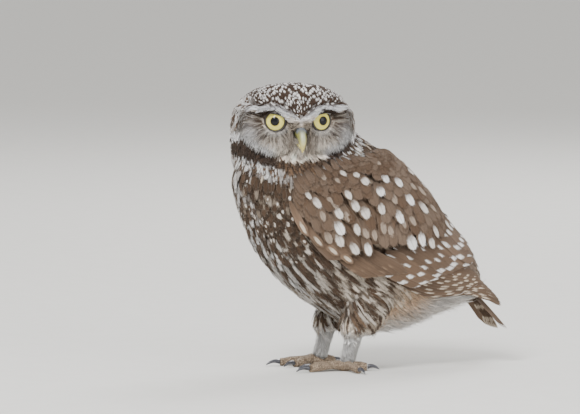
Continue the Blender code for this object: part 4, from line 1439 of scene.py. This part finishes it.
def eyeMaterial(side):
    centre, axis = eyeFrame(side)
    material, at = newMaterial("iris_" + side)
    offset = at.add("ShaderNodeTexCoord", output=3).vector("SUBTRACT", centre)
    forward, reach = offset.dot(axis), offset.length()
    out = (reach * reach - forward * forward).atLeast(0.0) ** 0.5 * 1000.0
    spokes = at.noise(2600.0, 3.0, 0.6)
    broad = at.noise(700.0, 2.0, 0.5)
    iris = (out * 0.36 - 0.95 + spokes * 0.35).ramp(0.0, 1.0).mix((0.62, 0.52, 0.06), (0.90, 0.82, 0.20))
    iris = (broad * 0.4).mix(iris, (0.82, 0.77, 0.30))
    ring = (out - 5.0 + (spokes - 0.5) * 0.3).ramp(0.0, 0.45)
    iris = ring.mix(iris, (0.10, 0.075, 0.02))
    inner = (eyeLook["pupil"] + 0.5 - out).ramp(0.0, 0.4)
    iris = (inner * 0.5).mix(iris, (0.30, 0.22, 0.04))
    pupil = (eyeLook["pupil"] - out + (spokes - 0.5) * 0.1).ramp(-0.05, 0.10)
    colour = pupil.mix(iris, (0.004, 0.004, 0.005))
    outside = (out - eyeLook["iris"]).ramp(-0.15, 0.10)
    colour = outside.mix(colour, (0.012, 0.010, 0.009))
    at.shade(material, Base_Color=colour, Roughness=0.12 + 0.05 * spokes, Specular_IOR_Level=0.1,
             Coat_Weight=0.32, Coat_Roughness=0.02)
    return material


def settle(piece):
    only(piece)
    bpy.ops.object.transform_apply(location=True, rotation=True, scale=True)


def addBall(name, radius, place, turn, segments=48, rings=32):
    # place in metres
    bpy.ops.object.select_all(action="DESELECT")
    bpy.ops.mesh.primitive_uv_sphere_add(segments=segments, ring_count=rings, radius=radius * mm,
                                         location=place, rotation=turn)
    bpy.context.object.name = name
    return bpy.context.object


def finishPiece(piece, material, slotName, *nodes):
    settle(piece)
    bpy.ops.object.shade_smooth()
    piece.data.materials.clear()
    piece.data.materials.append(material)
    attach(piece, "root")
    if nodes:
        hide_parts(*nodes)
    return piece


def makeEye(side, rim):
    centre, axis = eyeFrame(side)
    turn = Vector((0, 0, 1)).rotation_difference(axis).to_euler()
    ball = addBall("eyeball_" + side, eyeLook["radius"], centre, turn)
    settle(ball)
    bpy.ops.object.mode_set(mode="EDIT")
    bpy.ops.mesh.select_all(action="DESELECT")
    edit = bmesh.from_edit_mesh(ball.data)
    for vertex in edit.verts:
        out = vertex.co - centre
        vertex.select = out.normalized().dot(axis) > math.cos(math.radians(4))
    edit.select_flush_mode()
    bmesh.update_edit_mesh(ball.data)
    bpy.ops.transform.translate(value=axis * eyeLook["bulge"] * mm, use_proportional_edit=True,
                                proportional_edit_falloff="SMOOTH",
                                proportional_size=eyeLook["bulgeReach"] * mm)
    bpy.ops.object.mode_set(mode="OBJECT")
    finishPiece(ball, eyeMaterial(side), "eye", "eye_" + side)

    # the bare dark rim
    bpy.ops.object.select_all(action="DESELECT")
    seat = centre + axis * eyeLook["radius"] * eyeLook["rimSeat"] * mm
    bpy.ops.mesh.primitive_torus_add(
        major_segments=56, minor_segments=12, major_radius=eyeLook["rimRadius"] * mm,
        minor_radius=eyeLook["rimThickness"] * mm, location=seat, rotation=turn)
    ring = bpy.context.object
    ring.name = "eye_rim_" + side
    ring.scale = (1.0, 1.0, 1.15)
    finishPiece(ring, rim, "eye")

    # the upper lid: a cap of the ball's own shape, cut on a slant that drops towards the bill
    lid = addBall("upper_lid_" + side, eyeLook["lidRadius"], centre, turn)
    settle(lid)
    upward = (Vector((0, 0, 1)) - axis * axis.z).normalized()
    inward = Vector(faceLeft) * (-1 if side == "left" else 1)
    slant = upward + inward * eyeLook["lidSlant"] - axis * math.tan(eyeLook["lidDrop"])
    for place, way in ((centre, slant), (centre + axis * eyeLook["lidBack"] * mm, axis)):
        bpy.ops.object.mode_set(mode="EDIT")
        bpy.ops.mesh.select_all(action="SELECT")
        bpy.ops.mesh.bisect(plane_co=place, plane_no=way.normalized(), clear_inner=True)
        bpy.ops.object.mode_set(mode="OBJECT")
    wall = lid.modifiers.new("wall", "SOLIDIFY")
    wall.thickness, wall.offset = eyeLook["lidThickness"] * mm, 1.0
    rounded = lid.modifiers.new("round", "BEVEL")
    rounded.width, rounded.segments = 0.15 * mm, 2
    applyAll(lid)
    finishPiece(lid, rim, "eye")


eyeRim = grained("eye_rim", rimLook)
for side in ("left", "right"):
    makeEye(side, eyeRim)
print("eyes done")


# Bill and cere

def billMaterial():
    material, at = newMaterial("horn_bill")
    offset = at.add("ShaderNodeTexCoord", output=3).vector("SUBTRACT", headLook["centre"] * mm)
    sideways, up = offset.dot(Vector(faceLeft)), offset.dot(Vector((0, 0, 1)))
    grain = at.noise(900.0, 4.0, 0.55)
    fine = at.noise(4200.0, 3.0, 0.6)
    ridge = (0.0022 - abs(sideways)).ramp(0.0, 0.0018)
    tipward = (up * -1.0).ramp(0.004, 0.0125)
    colour = ridge.mix((0.20, 0.20, 0.05), (0.38, 0.42, 0.28))
    colour = tipward.mix(colour, (0.66, 0.54, 0.14))
    cere = up.ramp(-0.0030, -0.0002)
    colour = cere.mix(colour, (0.10, 0.115, 0.125))
    colour = (grain * 0.35).mix(colour, (0.30, 0.27, 0.12))
    at.shade(material, Base_Color=colour, Roughness=0.28 + 0.25 * grain,
             Normal=at.bump(grain + fine * 0.3, 0.00015), Coat_Weight=0.25, Coat_Roughness=0.2)
    return material


def smoothCopy(node, name, voxel, material, slotName, shaped=None):
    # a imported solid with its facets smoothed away; voxel in metres
    piece = welded(nodeCopy(node, name))
    remeshed(piece, voxel, 3)
    largestOnly(piece)
    if shaped:
        setSpots(piece.data, shaped(spotsOf(piece.data)))
    return finishPiece(piece, material, slotName, node)


def slimBill(spots):
    # narrower towards the base, where bristles hide it
    forward, left, up = toHead(spots).T
    left = left * np.interp(up, (-13.4, -8.0, -4.0, 0.0), (1.0, 0.98, 0.84, 0.66))
    return np.array(headLook["centre"]) + np.stack([forward, left, up], axis=1) @ faceWays


# the swollen skin over the bill's base, with two nostrils: forward, left, up and reach each way
cereLook = {
    "base": ((21.6, 0.0, -0.4), (4.4, 2.7, 3.3)),
    "nostril": ((24.2, 1.8, -1.4), (1.8, 1.3, 1.6)),
    "hole": (25.7, 2.3, -1.4),
    "holeDepth": 0.5,
    "holeRadius": 0.7,
    "voxel": 0.0003,  # in metres
    "skin": {
        "grain": 1900.0,
        "harsh": 0.6,
        "broad": 420.0,
        "tones": ((0.050, 0.058, 0.066), (0.150, 0.165, 0.180)),
        "rough": (0.40, 0.2),
        "relief": 0.0002,
    },
}


def fromHead(place, sign):
    # a place given from the head's centre, on one side of it
    forward, left, up = place
    return np.array(headLook["centre"]) + np.array((forward, left * sign, up)) @ faceWays


def makeCere():
    lumps = []
    for sign in (0, -1, 1):
        place, reach = cereLook["nostril" if sign else "base"]
        turn = (0, 0, headLook["turn"] - math.pi / 2)
        lump = addBall("cere", 1.0, fromHead(place, sign) * mm, turn, 24, 16)
        lump.scale = reach
        lumps.append(lump)
    only(*lumps)
    bpy.ops.object.join()
    cere = lumps[0]
    settle(cere)
    remeshed(cere, cereLook["voxel"], 3)
    largestOnly(cere)
    spots = spotsOf(cere.data)
    for sign in (-1, 1):
        gaps = ((spots - fromHead(cereLook["hole"], sign)) ** 2).sum(1)
        near = np.exp(-gaps / cereLook["holeRadius"] ** 2)[:, None]
        spots = spots - faceForward * near * cereLook["holeDepth"]
    setSpots(cere.data, spots)
    finishPiece(cere, grained("cere_skin", cereLook["skin"]), "bill")


makeCere()
horn = billMaterial()
smoothCopy("bill_upper", "bill_top", 0.00028, horn, "bill", slimBill)
smoothCopy("bill_lower", "bill_bottom", 0.00028, horn, "bill")
print("bill done")


# Feet and claws

def toeMaterial():
    material, at = newMaterial("scaled_toe")
    inputs = {"Scale": 950.0, "Vector": at.add("ShaderNodeTexCoord", output=3)}
    scales = at.add("ShaderNodeTexVoronoi", {"feature": "DISTANCE_TO_EDGE"}, inputs)
    grain = at.noise(1500.0, 4.0, 0.6)
    broad = at.noise(260.0, 2.0, 0.5)
    groove = (0.20 - scales).ramp(0.0, 0.18)
    colour = broad.mix((0.34, 0.24, 0.16), (0.58, 0.46, 0.34))
    colour = (groove * 0.85).mix(colour, (0.10, 0.065, 0.04))
    at.shade(material, Base_Color=colour, Roughness=0.55 + 0.25 * grain,
             Normal=at.bump(grain * 0.3 - groove, 0.0008), Specular_IOR_Level=0.35)
    return material


clawLook = {
    "grain": 1100.0,
    "harsh": 0.55,
    "tones": ((0.012, 0.012, 0.016), (0.060, 0.060, 0.075)),
    "rough": (0.18, 0.22),
    "relief": 0.0001,
    "gloss": {"Coat_Weight": 0.5, "Coat_Roughness": 0.15},
}
toeSkin, clawHorn = toeMaterial(), grained("claw_horn", clawLook)
for side in ("left", "right"):
    smoothCopy("foot_" + side, "toes_" + side, 0.0005, toeSkin, "toe")
    for number in range(1, 5):
        smoothCopy(f"claw_{side}_{number}", f"talon_{side}_{number}", 0.00025, clawHorn, "claw")
print("feet done")


# Floor, light and camera

stageLook = {
    "floor": 90.0,  # in metres, as are the lights' places and sizes
    "floorSkin": {
        "grain": 60.0,
        "harsh": 0.5,
        "tones": ((0.70, 0.69, 0.66), (0.76, 0.75, 0.72)),
        "rough": (0.8, 0.1),
    },
    "sky": (0.86, 0.855, 0.84, 1.0),
    "skyStrength": 1.05,
    "lights": {  # place, power and size
        "key": ((1.1, -1.2, 1.8), 62.0, 0.8),
        "fill": ((1.7, 0.7, 0.45), 20.0, 1.4),
        "back": ((-1.3, 1.2, 1.6), 30.0, 1.0),
    },
    "aim": Vector((0, 0, 0.09)),
}
cameraLook = {
    "azimuth": math.radians(70.0),
    "elevation": math.radians(4.0),
    "distance": 2.5,  # in metres, as is the width that it sees
    "width": 0.3452,
    "target": Vector((-22.5, -42.5, 94.5)) * mm,
}


def makeStage():
    bpy.ops.object.select_all(action="DESELECT")
    bpy.ops.mesh.primitive_plane_add(size=stageLook["floor"], location=(0, 0, 0))
    floor = bpy.context.object
    floor.name = "floor"
    floor.data.materials.append(grained("pale_floor", stageLook["floorSkin"]))
    world = bpy.data.worlds.new("studio")
    world.use_nodes = True
    sky = world.node_tree.nodes["Background"]
    sky.inputs["Color"].default_value = stageLook["sky"]
    sky.inputs["Strength"].default_value = stageLook["skyStrength"]
    bpy.context.scene.world = world
    for name, (place, power, size) in stageLook["lights"].items():
        bpy.ops.object.light_add(type="AREA", location=place)
        light = bpy.context.object
        light.name = "light_" + name
        light.data.energy, light.data.size = power, size
        light.rotation_euler = (stageLook["aim"] - Vector(place)).to_track_quat("-Z", "Y").to_euler()


def makeCamera():
    azimuth, elevation, distance = [cameraLook[key] for key in ("azimuth", "elevation", "distance")]
    flat = math.cos(elevation)
    away = Vector((math.sin(azimuth) * flat, -math.cos(azimuth) * flat, math.sin(elevation)))
    bpy.ops.object.camera_add(location=cameraLook["target"] + away * distance,
                              rotation=away.to_track_quat("Z", "Y").to_euler())
    camera = bpy.context.object
    camera.name = "camera"
    camera.data.lens = camera.data.sensor_width * distance / cameraLook["width"]
    bpy.context.scene.camera = camera


makeStage()
makeCamera()
